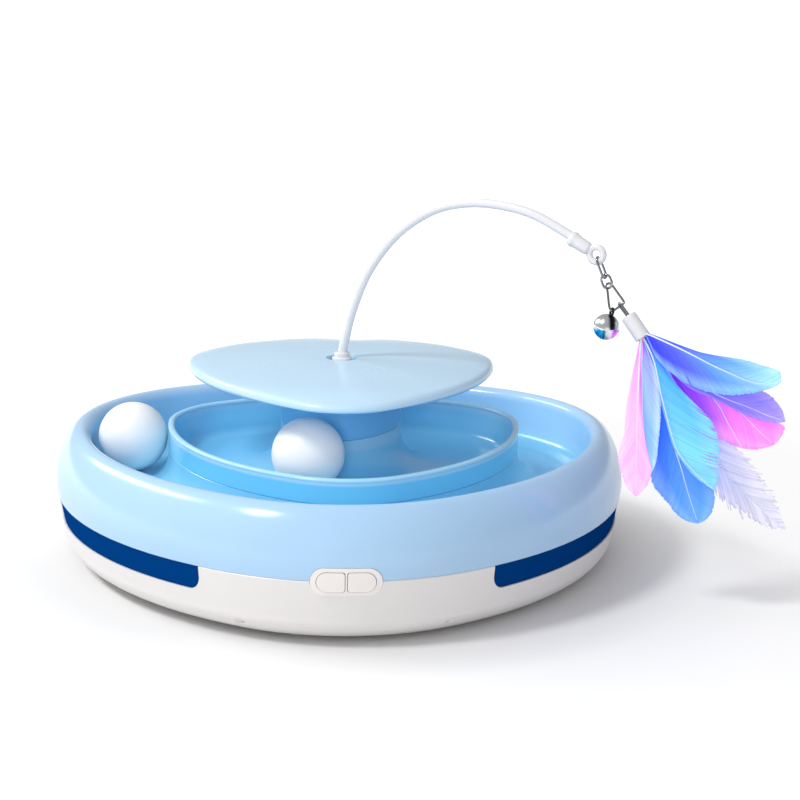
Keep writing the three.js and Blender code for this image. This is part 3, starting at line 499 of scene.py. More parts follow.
# Navy bands that fill the windows just under their edges
def makeSlotLiners():
    low, high = shells["seam"] - window["height"] - 3, shells["seam"] - 0.15
    heights = [low + (high - low) * i / 6 for i in range(7)]
    for side, middle in zip(("right", "rear", "left"), window["middles"]):
        spots = [(shellOffset(z) - window["sunk"], z) for z in heights]
        spots += [(offset - window["thick"], z) for offset, z in reversed(spots)]
        band = sweepRounded(spots + spots[:1], facets=30)
        liner = objectFrom(f"slotLiner_{side}", band, finishes["slotNavy"])
        carve(liner, windowTool(middle, window["fit"]), "INTERSECT")
        reshade(liner)
        seat(liner, "base", [f"slot_liner_{side}"])


# The tray and the floor under it stand a little aside of the axis
def besideAxis(x, y, offset, z):
    near = ramp(offset, 12, 30) * (1 - ramp(offset, 53, 66)) if z > 37 else 1 - ramp(offset, 53, 66)
    return x + shells["trayAside"] * near, y, z


def makeTrackShell():
    s = shells
    wall, floor, deckTop, lipAt = s["wall"], s["trackFloor"], s["deck"], s["top"] - s["lipDrop"]
    middle = s["ringOffset"] - s["ringRound"]
    rise = s["top"] - s["widest"]
    low = s["seam"] + s["joint"]
    profile = [(shellOffset(low) - 0.25, low), (shellOffset(low), low + 0.3), (shellOffset(30), 30)]
    profile += arc(0, 89.5, 16, (middle, s["widest"]), s["ringRound"], rise, s["ringCurve"])
    profile += arc(97, 180, 8, (middle, lipAt), s["lipRound"], s["lipDrop"])
    filletAt = (s["trackWall"] - s["fillet"], floor + s["fillet"])
    profile += arc(0, -90, 8, filletAt, s["fillet"])
    bandInset = s["band"] - 0.2
    for a in quarter:
        offset = bandInset + s["flareWidth"] * (1 - math.sin(a))
        profile.append((offset, floor + s["flareHeight"] * (1 - math.cos(a))))
    pedestal = s["bandBottom"] - 0.15
    deck = bandInset - wall
    profile += [(bandInset, pedestal - 0.2), (bandInset - 0.2, pedestal), (deck, pedestal), (deck, deckTop)]
    profile += [(5, deckTop, 0), (5, deckTop - wall, 0), (deck + 2, deckTop - wall)]
    profile += [(s["band"] + 5, floor - wall + 1.2), (s["band"] + 10, floor - wall)]
    profile += arc(-90, 0, 4, filletAt, s["fillet"] + wall)
    profile += [(middle - s["lipRound"] + wall, lipAt), (middle, s["top"] - wall)]
    profile += arc(70, 0, 5, (middle, s["widest"]), s["ringRound"] - wall, rise - wall, s["ringCurve"])
    profile += [(shellOffset(low) - wall, low), profile[0]]
    track = objectFrom("trackShell", sweepRounded(profile, bend=besideAxis), finishes["ringBlue"])
    carveOpening(track)
    reshade(track)
    # Painted shade: the track's inner wall and floor, below the lip, take the deep colour
    lip = s["trackWall"] + 1.2
    paintInsideShade(track, lambda offset, z: ramp(lip - offset, 0, 3.5) if z > floor - 0.2 else 0)
    seat(track, "base", ["track_shell"])


# Tray with its rim bead, and the flared foot of the column
tray = {"floor": 40.5, "rim": 56, "fillet": 5, "columnReach": 21, "columnOffset": 8.5, "seam": 58.5,
        "flareReach": 10, "flareOffset": 6.5, "flareHeight": 14, "bead": 1.15, "under": 38.1}


def makeTray():
    t, s = tray, shells
    inside = s["band"] - s["wall"]
    bowl = s["band"] - 0.2 - s["wall"] - 0.3

    def flare(a, inset):
        c, n = math.cos(a), math.sin(a)
        offset = t["columnOffset"] - inset + t["flareOffset"] * (1 - n)
        z = t["floor"] - inset + t["flareHeight"] * (1 - c)
        return offset, z, t["columnReach"] + t["flareReach"] * (1 - n)

    rimSpot = (s["band"] - s["wall"] / 2 + 0.1, t["rim"] - t["bead"])
    profile = [(bowl, t["under"]), (bowl, s["bandBottom"]), (s["band"] - 0.3, s["bandBottom"]),
               (s["band"], s["bandBottom"] + 0.3), (s["band"], 48), (s["band"], t["rim"] - 3.6),
               (s["band"] + 0.15, t["rim"] - 2.6)]
    profile += arc(-35, 215, 12, rimSpot, t["bead"] + 0.35, t["bead"])
    profile += [(inside - 0.1, t["rim"] - 2.9), (inside - 0.6, t["rim"] - 4.5), (inside - 1.6, t["rim"] - 8)]
    profile += arc(0, -90, 6, (bowl - s["wall"] - t["fillet"], t["floor"] + t["fillet"]), t["fillet"])
    profile += [flare(a, 0) for a in quarter]
    profile += [(t["columnOffset"], t["seam"] - 0.25, t["columnReach"]),
                (t["columnOffset"] - 0.2, t["seam"] - 0.06, t["columnReach"]),
                (t["columnOffset"] - s["wall"], t["seam"] - 0.06, t["columnReach"])]
    profile += [flare(math.radians(a), s["wall"]) for a in (90, 60, 30)]
    profile += [(t["columnOffset"], t["under"], t["columnReach"] + t["flareReach"]), profile[0]]
    piece = objectFrom("ballTray", sweepRounded(profile, bend=besideAxis), finishes["trayBlue"])
    # Painted shade: the band's outside below the rim, and the bowl further down, take the deep colour
    reach = s["band"]
    paintInsideShade(piece, lambda offset, z: 0.95 if offset > reach - 1.4 and z < t["rim"] - 3 else (
        0.0 if z > t["rim"] - 2.7 else ramp(t["rim"] - z, 1, 5) * 0.75))
    seat(piece, "base", ["tray"])


# Top plate: a domed disc with a small notch behind, on its own length of column
plate = {"offset": 32.6, "bottom": 81.2, "edge": 4.5, "crown": 89.3, "droop": 1.6, "hole": 6.85,
         "notch": (5, 11, 4.5), "seat": 4.4}


def makeTopPlate():
    p, t, s = plate, tray, shells
    top = p["bottom"] + p["edge"]
    rim = p["offset"] - 1.6
    reach = outline["reach"]

    def dome(share):
        return p["crown"] - (p["crown"] - top) * share ** 2

    def notch(x, y, offset, z):
        near = ramp(offset, rim - 9, rim) if z > top - 3 else ramp(offset, rim - 12, rim - 6)
        place, width, depth = p["notch"]
        if y > 0 and offset > 12:
            y -= near * depth * math.exp(-((x - place) / width) ** 2)
        if z > p["bottom"] + 1:
            side = (math.sqrt(3) - 1) * reach + p["offset"]
            z -= p["droop"] * ramp(math.hypot(x, y), side - 2, reach + p["offset"])
        return x, y, z

    profile = [(p["hole"], p["crown"] - 0.6, 0), (p["hole"] + 0.15, p["crown"] - 0.2, 0)]
    for i in range(1, 13):
        share = i / 12
        wider = (rim - 0.8 - p["hole"] - 0.5) * share
        profile.append((p["hole"] + 0.5 + wider, dome(share * 0.985), reach * share))
    profile += arc(72, -80, 12, (p["offset"] - 2.3, top - 2.45), 2.3, 2.5)
    profile += [(p["offset"] - 2.8, p["bottom"] + 0.05), (p["offset"] - s["wall"] - 1.2, p["bottom"] + 0.5),
                (p["offset"] - s["wall"] - 4, top - s["wall"])]
    wall, column, seam = s["wall"], t["columnOffset"], t["seam"]
    inner = column - wall
    down = [(column + 1.5, top - wall), (column + 0.3, top - wall - 0.5), (column, top - wall - 2),
            (column, seam + 0.25), (column - 0.2, seam + 0.06), (inner, seam + 0.06),
            (inner, p["bottom"] - wall)]
    profile += [(*spot, t["columnReach"]) for spot in down]
    profile += [(p["seat"], p["bottom"] - wall, 0), (p["seat"], p["bottom"], 0), (p["hole"], p["bottom"], 0)]
    profile.append(profile[0])
    piece = objectFrom("topPlate", sweepRounded(profile, bend=notch), finishes["plateBlue"])
    # Painted shade: under the plate, down the column and in the hole, the piece takes the deep colour
    paintInsideShade(piece, lambda offset, z: ramp(p["bottom"] + 1 - z, 0, 1.5) + (z < 85 and offset < 0))
    seat(piece, "base", ["top_plate"])


def frontSlab(proud, depth):
    low, high = shells["seam"] - 8, shells["seam"] + 8
    heights = [low + (high - low) * i / 12 for i in range(13)]
    spots = [(shellOffset(z) + proud, z) for z in heights]
    spots += [(shells["ringOffset"] - depth, high), (shells["ringOffset"] - depth, low)]
    return sweepRounded(spots + spots[:1], facets=40)


def makeButtons():
    b = buttons
    bezel = objectFrom("buttonFrame", frontSlab(b["proud"], b["bezelDepth"]), finishes["buttonWhite"])
    carve(bezel, pillTool(-b["width"] / 2, b["width"] / 2, b["height"]), "INTERSECT")
    for side in (-1, 1):
        near, far = b["between"] / 2, b["between"] / 2 + b["each"]
        ends = (near, far) if side > 0 else (-far, -near)
        grown = (ends[0] - b["gap"] * 0.7, ends[1] + b["gap"] * 0.7)
        tall = b["tall"] + b["gap"] * 1.4
        flat = {"endRight" if side < 0 else "endLeft": b["flatEnd"]}
        carve(bezel, pillTool(*grown, tall, **flat))
        name = "left" if side < 0 else "right"
        slab = frontSlab(b["proud"] + b["raised"], b["buttonDepth"])
        button = objectFrom(f"button_{name}_cap", slab, finishes["buttonWhite"])
        carve(button, pillTool(*ends, b["tall"], **flat), "INTERSECT")
        softenEdges(button, b["soft"])
        reshade(button)
        seat(button, f"button_{name}", [f"button_{name}"])
    softenEdges(bezel, b["soft"])
    reshade(bezel)
    seat(bezel, "base", ["button_bezel"])


# Balls in their tracks, a little aside of the solid model's
balls = {
    "trackBall": {"node": "outer_ball", "radius": 15.5, "aside": 1.4},
    "trayBall": {"node": "inner_ball", "radius": 15.5, "aside": 0.7},
}


def makeBalls():
    for name, ball in balls.items():
        low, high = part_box(ball["node"])
        middle = (Vector(low) + Vector(high)) / 2 + Vector((ball["aside"] * mm, 0, 0))
        bm = bmesh.new()
        bmesh.ops.create_uvsphere(bm, u_segments=72, v_segments=48, radius=ball["radius"] * mm)
        bmesh.ops.translate(bm, vec=middle, verts=bm.verts)
        seat(objectFrom(name, bm, finishes["ballWhite"], 80), ball["node"], [ball["node"]])


# Teaser: everything that hangs in the plane turned from +X, told as (along, up) or (along, up, across)
teaserTurn = Matrix.Rotation(math.radians(-30), 3, "Z")


def onTeaser(along, up, across=0):
    return teaserTurn @ Vector((along, across, up)) * mm


def toTeaser(point):
    return onTeaser(point.x, point.z, point.y)


def inPlane(along, up):
    return Vector((along, 0, up))


def level(along, up):
    return inPlane(along, up).normalized()


# A smooth path through points, as a rule that gives the place at a share of its length
def pathThrough(points):
    spots = [Vector(p) for p in points]
    fine = []
    for i in range(len(spots) - 1):
        a, b, c, d = spots[max(0, i - 1)], spots[i], spots[i + 1], spots[min(len(spots) - 1, i + 2)]
        for k in range(16):
            t = k / 16
            fine.append(0.5 * (2 * b + (c - a) * t + (2 * a - 5 * b + 4 * c - d) * t ** 2
                               + (3 * b - a - 3 * c + d) * t ** 3))
    fine.append(spots[-1])
    run = [0]
    for a, b in zip(fine, fine[1:]):
        run.append(run[-1] + (b - a).length)

    def at(share):
        want = min(1, max(0, share)) * run[-1]
        low, high = 0, len(run) - 1
        while high - low > 1:
            half = (low + high) // 2
            low, high = (half, high) if run[half] <= want else (low, half)
        step = run[high] - run[low]
        return fine[low].lerp(fine[high], (want - run[low]) / step if step else 0)

    return at


def flatPath(pairs):
    return pathThrough([inPlane(*pair) for pair in pairs])


# Round wire along points: a grid rolled round them, with filled ends, or a ring when told its axis
def tubeAlong(bm, points, radius, sides, around=None):
    count = len(points)
    steps = count if around else count - 1
    radii = radius if isinstance(radius, list) else [radius] * count
    before = set(bm.verts)
    bmesh.ops.create_grid(bm, x_segments=steps, y_segments=sides, size=0.5)
    made = [v for v in bm.verts if v not in before]
    frames = []
    side = around
    for i in range(count):
        ahead = points[(i + 1) % count] if around else points[min(count - 1, i + 1)]
        behind = points[i - 1] if around else points[max(0, i - 1)]
        along = (ahead - behind).normalized()
        side = along.orthogonal() if side is None else around or side
        side = (side - along * side.dot(along)).normalized()
        frames.append((points[i], side, along.cross(side), radii[i]))
    for vert in made:
        i = round((vert.co.x + 0.5) * steps) % count
        a = 2 * math.pi * (vert.co.y + 0.5)
        spot, first, second, r = frames[i]
        vert.co = spot + (first * math.cos(a) + second * math.sin(a)) * r
    bmesh.ops.remove_doubles(bm, verts=made, dist=2e-6)
    ends = [e for e in bm.edges if e.is_boundary]
    if ends and not around:
        bmesh.ops.holes_fill(bm, edges=ends)
    bmesh.ops.recalc_face_normals(bm, faces=bm.faces)


# A turned piece from (radius, height) points, stood along an axis
def turnedShape(bm, profile, foot=Vector((0, 0, 0)), axis=Vector((0, 0, 1)), sides=40):
    verts = [bm.verts.new((r * mm, 0, z * mm)) for r, z in profile]
    edges = [bm.edges.new(pair) for pair in zip(verts, verts[1:])]
    bmesh.ops.spin(bm, geom=verts + edges, cent=(0, 0, 0), axis=(0, 0, 1), angle=2 * math.pi, steps=sides,
                   use_merge=True)
    bmesh.ops.remove_doubles(bm, verts=bm.verts, dist=1e-7)
    bmesh.ops.recalc_face_normals(bm, faces=bm.faces)
    lean = Vector((0, 0, 1)).rotation_difference(axis)
    bmesh.ops.rotate(bm, cent=(0, 0, 0), matrix=lean.to_matrix(), verts=bm.verts)
    bmesh.ops.translate(bm, vec=foot, verts=bm.verts)


# Teaser wire in its hub, with the sleeve and eyelet at its end
wire = {
    "radius": 2,
    "points": [(0, 87.4), (0, 90.3), (1.6, 98), (5.5, 112.1), (13.2, 129.2), (26.1, 145.5), (41.9, 156.7),
               (57, 161.5), (73, 162.3), (90.1, 159.5), (107.1, 152), (111, 149.3)],
    "hubLow": 81.8, "shaftTop": 85.3, "hubTop": 91.8, "hubRadius": 4.4,
    "eyelet": (118.9, 145.2), "eyeletRing": 3.1, "eyeletWire": 1.4,
}


def makeWire():
    w = wire
    path = flatPath(w["points"])
    bm = bmesh.new()
    tubeAlong(bm, [toTeaser(path(i / 90)) for i in range(91)], w["radius"] * mm, 20)
    seat(objectFrom("teaserWire", bm, finishes["wireWhite"], 50), "teaser", ["teaser_wire"])

    low, top, r, inner = w["hubLow"], w["hubTop"], w["hubRadius"], w["radius"] + 0.12
    profile = [(0, w["shaftTop"] + 0.3), (2.8, w["shaftTop"] + 0.3), (2.8, low), (r - 0.5, low),
               (r - 0.15, low + 0.2), (r, low + 0.7), (r, top - 3.6), (r + 0.05, top - 3.2),
               (r - 0.15, top - 2.7), (r - 0.7, top - 2.35), (r - 1, top - 2.1), (r - 1.05, top - 1.6),
               (r - 1.05, top - 0.8), (r - 1.2, top - 0.35), (r - 1.6, top - 0.05), (inner, top),
               (inner, top - 4.6), (0, top - 4.6)]
    bm = bmesh.new()
    turnedShape(bm, profile)
    seat(objectFrom("wireHub", bm, finishes["wireWhite"]), "teaser", ["wire_hub"])

    eyelet, end = onTeaser(*w["eyelet"]), onTeaser(*w["points"][-1])
    axis = (eyelet - end).normalized()
    neck = (eyelet - end).length / mm - w["eyeletRing"]
    sleeve = [(0, 0.3), (inner, 0.3), (inner, -4.5), (2.6, -4.5), (2.85, -4.35), (3, -3.9), (3.3, -3.2),
              (3.35, -2.6), (3.1, -2), (2.9, 0), (2.75, 4), (2.6, 4.7), (2.25, 5.1), (1.8, 5.3),
              (1.4, neck), (0, neck)]
    bm = bmesh.new()
    turnedShape(bm, sleeve, end, axis)
    ring = []
    for i in range(40):
        a = 2 * math.pi * i / 40
        ring.append(eyelet + onTeaser(math.cos(a), math.sin(a)) * w["eyeletRing"])
    tubeAlong(bm, ring, w["eyeletWire"] * mm, 16, around=teaserTurn @ Vector((0, 1, 0)))
    seat(objectFrom("wireSocket", bm, finishes["wireWhite"]), "teaser", ["wire_socket"])


# Bell: painted reflections in its colour: bright metal above with a dark patch, and below it tints from cyan
# to pink across its width
bellPaintedReflections = {
    "above": [(0, (235, 235, 238)), (0.5, (225, 225, 230)), (0.6, (28, 28, 34)), (0.74, (40, 40, 48)),
              (0.86, (235, 235, 240)), (1, (215, 215, 222))],
    "below": [(0, (70, 205, 240)), (0.28, (60, 190, 230)), (0.36, (10, 70, 110)), (0.44, (200, 225, 240)),
              (0.6, (245, 240, 250)), (0.72, (226, 130, 235)), (1, (236, 160, 240))],
}


def bellPaintedReflectionMetal(centre):
    material, tree, shader = newMaterial("bellChromePaintedReflections")
    shift = addNode(tree, "Mapping", {"Vector": objectPlace(tree), "Location": -centre})
    apart = addNode(tree, "SeparateXYZ", {"Vector": shift.outputs["Vector"]})
    reach = chain["bellRadius"] * mm
    width = spread(tree, apart.outputs["X"], {"From Min": -reach, "From Max": reach})
    # Painted reflections: the lower half takes the cyan to pink run, the upper half the bright metal with
    # its dark patch
    above, below = (colourRun(tree, width, [(at, screen(*colour)) for at, colour in row])
                    for row in bellPaintedReflections.values())
    half = spread(tree, apart.outputs["Z"], {"From Min": -0.6 * mm, "From Max": -0.2 * mm})
    tone = mixColours(tree, half, below, above)
    feed(tree, shader, {"Base Color": tone, "Metallic": 1, "Roughness": 0.24})
    return material


# Chain: two links, the clasp, the bell on its ring and the ferrule's hook
chain = {
    "wire": 0.5, "fall": (0.417, -0.909), "slant": (0.663, -0.749), "gap": 1.2, "linkWidths": (2, 2.1),
    "linkOne": (1.15, 10.3), "linkTwo": (-1.15, 4.4), "hang": (0.3, -4.9), "hook": -0.8, "hookWidth": 1.3,
    "claspLength": 9.9, "claspTilt": 42, "bellRadius": 5.4, "bellRing": 1.55, "bellTilt": 19,
    "claspOutline": [(1.2, 1.45), (0.1, 1.3), (-0.6, 0.6), (-0.6, -0.6), (0.2, -1.35), (1.4, -1.5),
                     (3.4, -2.6), (6.2, -4.3), (8.3, -5.3), (9.5, -5.2), (9.9, -4.3), (9.9, -1.8),
                     (9.9, 0.4), (9, 1.3), (5, 1.4)],
    "bellSlot": (7, 0.9, 3), "bellHoles": {"radius": 0.95, "aside": 3.4, "drop": 0.78}, "lugTurn": -50,
    "ferruleTop": (133.8, 121.2), "ferruleAxis": (0.63, -0.775), "ferruleLength": 11, "ferruleRadius": 3.3,
}


def wireLoop(bm, points, normal):
    across = toTeaser(normal).normalized()
    tubeAlong(bm, [toTeaser(p) for p in points], chain["wire"] * mm, 12, around=across)


# A long ring: two half circles with straight sides between them
def makeLink(name, start, end, side, halfWidth, body, nodes):
    along, length = (end - start).normalized(), (end - start).length
    reach, count = min(halfWidth, length / 2), 12
    points = []
    for half in range(2):
        for i in range(count):
            a = math.pi * (i / (count - 1) + half)
            centre = length - reach if half else reach
            points.append(start + along * (centre - reach * math.sin(a)) - side * halfWidth * math.cos(a))
    bm = bmesh.new()
    wireLoop(bm, points, along.cross(side))
    seat(objectFrom(name, bm, finishes["chrome"], 60), body, nodes)


def makeChain():
    c = chain
    across = Vector((0, 1, 0))
    fall, slant = level(*c["fall"]), level(*c["slant"])
    eyelet = inPlane(*wire["eyelet"])
    oneTop, oneEnd = (eyelet + fall * run for run in c["linkOne"])
    makeLink("linkOne", oneTop, oneEnd, across, c["linkWidths"][0], "link_one", ["link_one"])
    back, ahead = c["linkTwo"]
    twoTop, twoEnd = oneEnd + fall * c["gap"] * back, oneEnd + fall * ahead
    makeLink("linkTwo", twoTop, twoEnd, fall.cross(across), c["linkWidths"][1], "link_two", ["link_two"])

    claspTop = twoEnd - fall * c["gap"]
    tilt = math.radians(c["claspTilt"])
    side = slant.cross(across) * math.cos(tilt) + across * math.sin(tilt)

    def onClasp(s, w):
        return claspTop + slant * s + side * w

    spots = [onClasp(s, w) for s, w in c["claspOutline"]]
    around = pathThrough(spots[-2:] + spots + spots[:3])
    whole = [around(i / 600) for i in range(601)]
    first = min(range(200), key=lambda i: (whole[i] - spots[0]).length)
    last = min(range(400, 601), key=lambda i: (whole[i] - spots[0]).length)
    turns = [around((first + (last - first) * i / 72) / 600) for i in range(72)]
    bm = bmesh.new()
    wireLoop(bm, turns, slant.cross(side))
    seat(objectFrom("claspLoop", bm, finishes["chrome"], 60), "clasp", ["clasp"])

    short, aside = c["hang"]
    makeBell(onClasp(c["claspLength"] - short, aside))
    makeFerrule(onClasp(c["claspLength"] - c["gap"], c["hook"]), side)


# The bell leans about the spot where its ring hangs
def makeBell(hang):
    c = chain
    radius, ring = c["bellRadius"], c["bellRing"]
    middle = Vector((0, 0, c["gap"] - ring * 2 - radius - 0.2))
    lean = Matrix.Rotation(math.radians(c["bellTilt"]), 3, "Y")

    def ball(first, last):
        turns = [math.radians(7.5 * i) for i in range(first, last)]
        return [(radius * math.sin(a), radius * math.cos(a)) for a in turns]

    profile = [(0, radius)] + ball(1, 12) + [(radius, 0.5), (radius + 0.16, 0.4), (radius + 0.22, 0)]
    profile += [(radius + 0.16, -0.4), (radius, -0.5)] + ball(13, 24) + [(0, -radius)]
    bm = bmesh.new()
    turnedShape(bm, profile, sides=56)
    bell = objectFrom("bellShell", bm, bellPaintedReflectionMetal(toTeaser(hang + lean @ middle)))
    slot = blockOf(c["bellSlot"])
    moveBy(slot, (0, 0, -radius))
    carve(bell, toolFrom(slot))
    holes = c["bellHoles"]
    for end in (-1, 1):
        hole = eggOf((holes["radius"],) * 3)
        moveBy(hole, (end * holes["aside"], 0, -radius * holes["drop"]))
        carve(bell, toolFrom(hole))
    turn = Matrix.Rotation(math.radians(c["lugTurn"]), 3, "Z")
    spots = []
    for i in range(28):
        a = 2 * math.pi * i / 28
        spots.append(turn @ Vector((ring * math.cos(a), 0, radius + ring * 0.87 + ring * math.sin(a))) * mm)
    lug = bmesh.new()
    tubeAlong(lug, spots, c["wire"] * mm, 12, around=turn @ Vector((0, 1, 0)))
    lug.from_mesh(bell.data)
    for vert in lug.verts:
        vert.co = toTeaser(hang + lean @ (vert.co / mm + middle))
    lug.to_mesh(bell.data)
    lug.free()
    reshade(bell)
    seat(bell, "bell", ["bell"])


def makeFerrule(hookTop, side):
    c = chain
    top, axis = inPlane(*c["ferruleTop"]), level(*c["ferruleAxis"])
    r, length = c["ferruleRadius"], c["ferruleLength"]
    profile = [(0, 0), (r - 0.7, 0), (r - 0.25, 0.15), (r - 0.03, 0.55), (r, 1.1), (r, length - 0.7),
               (r - 0.05, length - 0.25), (r - 0.22, length - 0.03), (r - 0.4, length),
               (r - 0.5, length - 0.1), (r - 0.5, length - 3), (0, length - 3)]
    bm = bmesh.new()
    turnedShape(bm, profile, toTeaser(top), toTeaser(axis).normalized())
    seat(objectFrom("ferruleTube", bm, finishes["wireWhite"]), "feather_bunch", ["ferrule"])
    hookFoot = top + axis
    across = (hookFoot - hookTop).cross(side).normalized()
    makeLink("ferruleHook", hookTop, hookFoot, across, c["hookWidth"], "feather_bunch", [])


# Feathers: quill and both edges of each vane as (along, up), from the mouth to the tip
vaneEdges = {
    "pink": {
        "quill": [(139.7, 112.5), (139, 97.9), (138.6, 84.1), (138.8, 70.3), (139.1, 56.4), (139.4, 45.4)],
        "left": [(139.1, 112.4), (137.5, 103.2), (135.7, 92.9), (134.3, 82.6), (133.3, 71.4), (131.4, 63.3),
                 (131.9, 56.8), (135.3, 49.2), (139.4, 45.4)],
        "right": [(140.3, 112.5), (141, 98.1), (141, 84.4), (141.8, 74.4), (143.7, 65.4), (145.9, 57.8),
                  (144.8, 52.5), (142.9, 49), (139.4, 45.4)],
    },
    "pale": {
        "quill": [(139.9, 112.5), (140.5, 98), (141, 84.4), (142.3, 72.6), (144.4, 62.7), (146, 55.9)],
        "left": [(139.5, 112.5), (139.3, 97.9), (138.9, 84.1), (139.4, 72.2), (141.7, 62.3), (146, 55.9)],
        "right": [(140.4, 112.6), (144.6, 103.9), (147.4, 97), (149, 89.9), (149.4, 84.5), (149.2, 76.2),
                  (148.7, 66.9), (148, 60.8), (146, 55.9)],
    },
    "blue": {
        "quill": [(140.8, 112.6), (145.6, 103.6), (149.2, 89.5), (151.2, 82.9), (153.9, 75), (156.6, 68),
                  (160, 59.7), (163.2, 50.4), (168.3, 37.5)],
        "left": [(140.4, 112.6), (145.1, 102.2), (148.8, 89.4), (149.4, 80.8), (148.9, 69.7), (147.6, 60.3),
                 (146.7, 55.8), (148.8, 50.3), (153.6, 45.6), (158.8, 40.3), (163.6, 37.9), (168.3, 37.5)],
        "right": [(141.2, 112.6), (146.5, 104.1), (152.8, 90.3), (159, 77.4), (165.1, 66.3), (171.2, 57),
                  (174.4, 52.4), (175.1, 48.4), (174.2, 43.7), (172, 40.1), (168.3, 37.5)],
    },
    "cyan": {
        "quill": [(141, 112.6), (145.7, 103.6), (149.1, 90.8), (151.4, 83.3), (154, 75.4), (156.7, 68.4),
                  (161, 63), (167.4, 57.5), (174.4, 52.4)],
        "left": [(140.8, 112.6), (145.4, 103.6), (148.8, 90.8), (150.8, 82.8), (153.4, 74.7), (156.2, 67.7),
                 (160.4, 62.2), (166.7, 56.4), (174.4, 52.4)],
        "right": [(141.9, 113.4), (146.3, 107.8), (152.4, 99.4), (158.3, 92.8), (164.1, 88), (169.9, 83.3),
                  (173.5, 78.3), (175.3, 72.2), (176, 65.9), (175.7, 59.5), (174.4, 52.4)],
    },
    "sky": {
        "quill": [(142.6, 114.4), (153.7, 110.7), (163.2, 107.2), (170.8, 104.3), (178.3, 101.9),
                  (185.7, 99.7), (193, 99.3), (199.4, 100.6)],
        "left": [(142.6, 115), (151.8, 112.7), (161.2, 110.3), (168.7, 108.7), (176.1, 108.6),
                 (184.3, 108.1), (191.8, 106.8), (196.7, 105.8), (199, 104.4), (199.4, 100.6)],
        "right": [(141.9, 113.4), (145.4, 106.3), (151.4, 100.6), (158.1, 96.8), (165.7, 94.1),
                  (171.3, 93.2), (178.7, 93.1), (186, 94.4), (193.1, 96.8), (197.5, 99), (199.4, 100.6)],
    },
    "violet": {
        "quill": [(142.3, 113.7), (152.1, 104.3), (161.8, 97.7), (173.2, 93.2), (180.6, 90.9),
                  (188.1, 89.1), (195.4, 86.9), (203.6, 85.1)],
        "left": [(142.7, 114.1), (153.9, 105.9), (165.4, 100.8), (176.6, 97.6), (185, 95.9), (192.2, 96.7),
                 (196.3, 95.4), (199.6, 92.7), (202.2, 89.5), (203.6, 85.1)],
        "right": [(141.9, 113.3), (151.3, 102), (162, 94.1), (173.3, 90.9), (180.8, 88.2), (188.2, 85.5),
                  (195.6, 84.2), (200.1, 84.1), (203.6, 85.1)],
    },
    "magenta": {
        "quill": [(142.1, 113.1), (152.2, 102.1), (161.9, 95.9), (171.3, 93.2), (177.9, 91), (184.5, 87.3),
                  (192.1, 81.1), (200.1, 74.8)],
        "left": [(142.5, 113.5), (153.1, 104), (163.7, 97.5), (173.1, 94.5), (185.4, 88.3), (193.7, 85.5),
                 (201, 84.4), (204.3, 82.9), (203.1, 78.9), (200.1, 74.8)],
        "right": [(141.8, 112.7), (149.5, 100), (158.4, 89.2), (166.3, 82), (173, 76.4), (178.7, 74),
                  (185.3, 72.1), (190.8, 71.7), (195.3, 72.8), (200.1, 74.8)],
    },
    "lilac": {
        "quill": [(141.6, 112.5), (152.6, 93.9), (162.5, 81.5), (172.4, 70), (182.2, 59), (191.9, 50.9),
                  (201.4, 43.9), (207.8, 40.1)],
        "left": [(142, 112.7), (156.3, 95.3), (168.1, 83.1), (177.6, 77), (186.2, 71.8), (191.1, 65.6),
                 (195.9, 60.4), (200.8, 53.8), (204.9, 46.3), (207.8, 40.1)],
        "right": [(141.2, 112.3), (150.8, 91.9), (159.9, 78.4), (168.9, 65), (175.5, 54.4), (181.8, 48.4),
                  (187.6, 44.7), (195.1, 42.1), (201.6, 40.3), (207.8, 40.1)],
    },
}
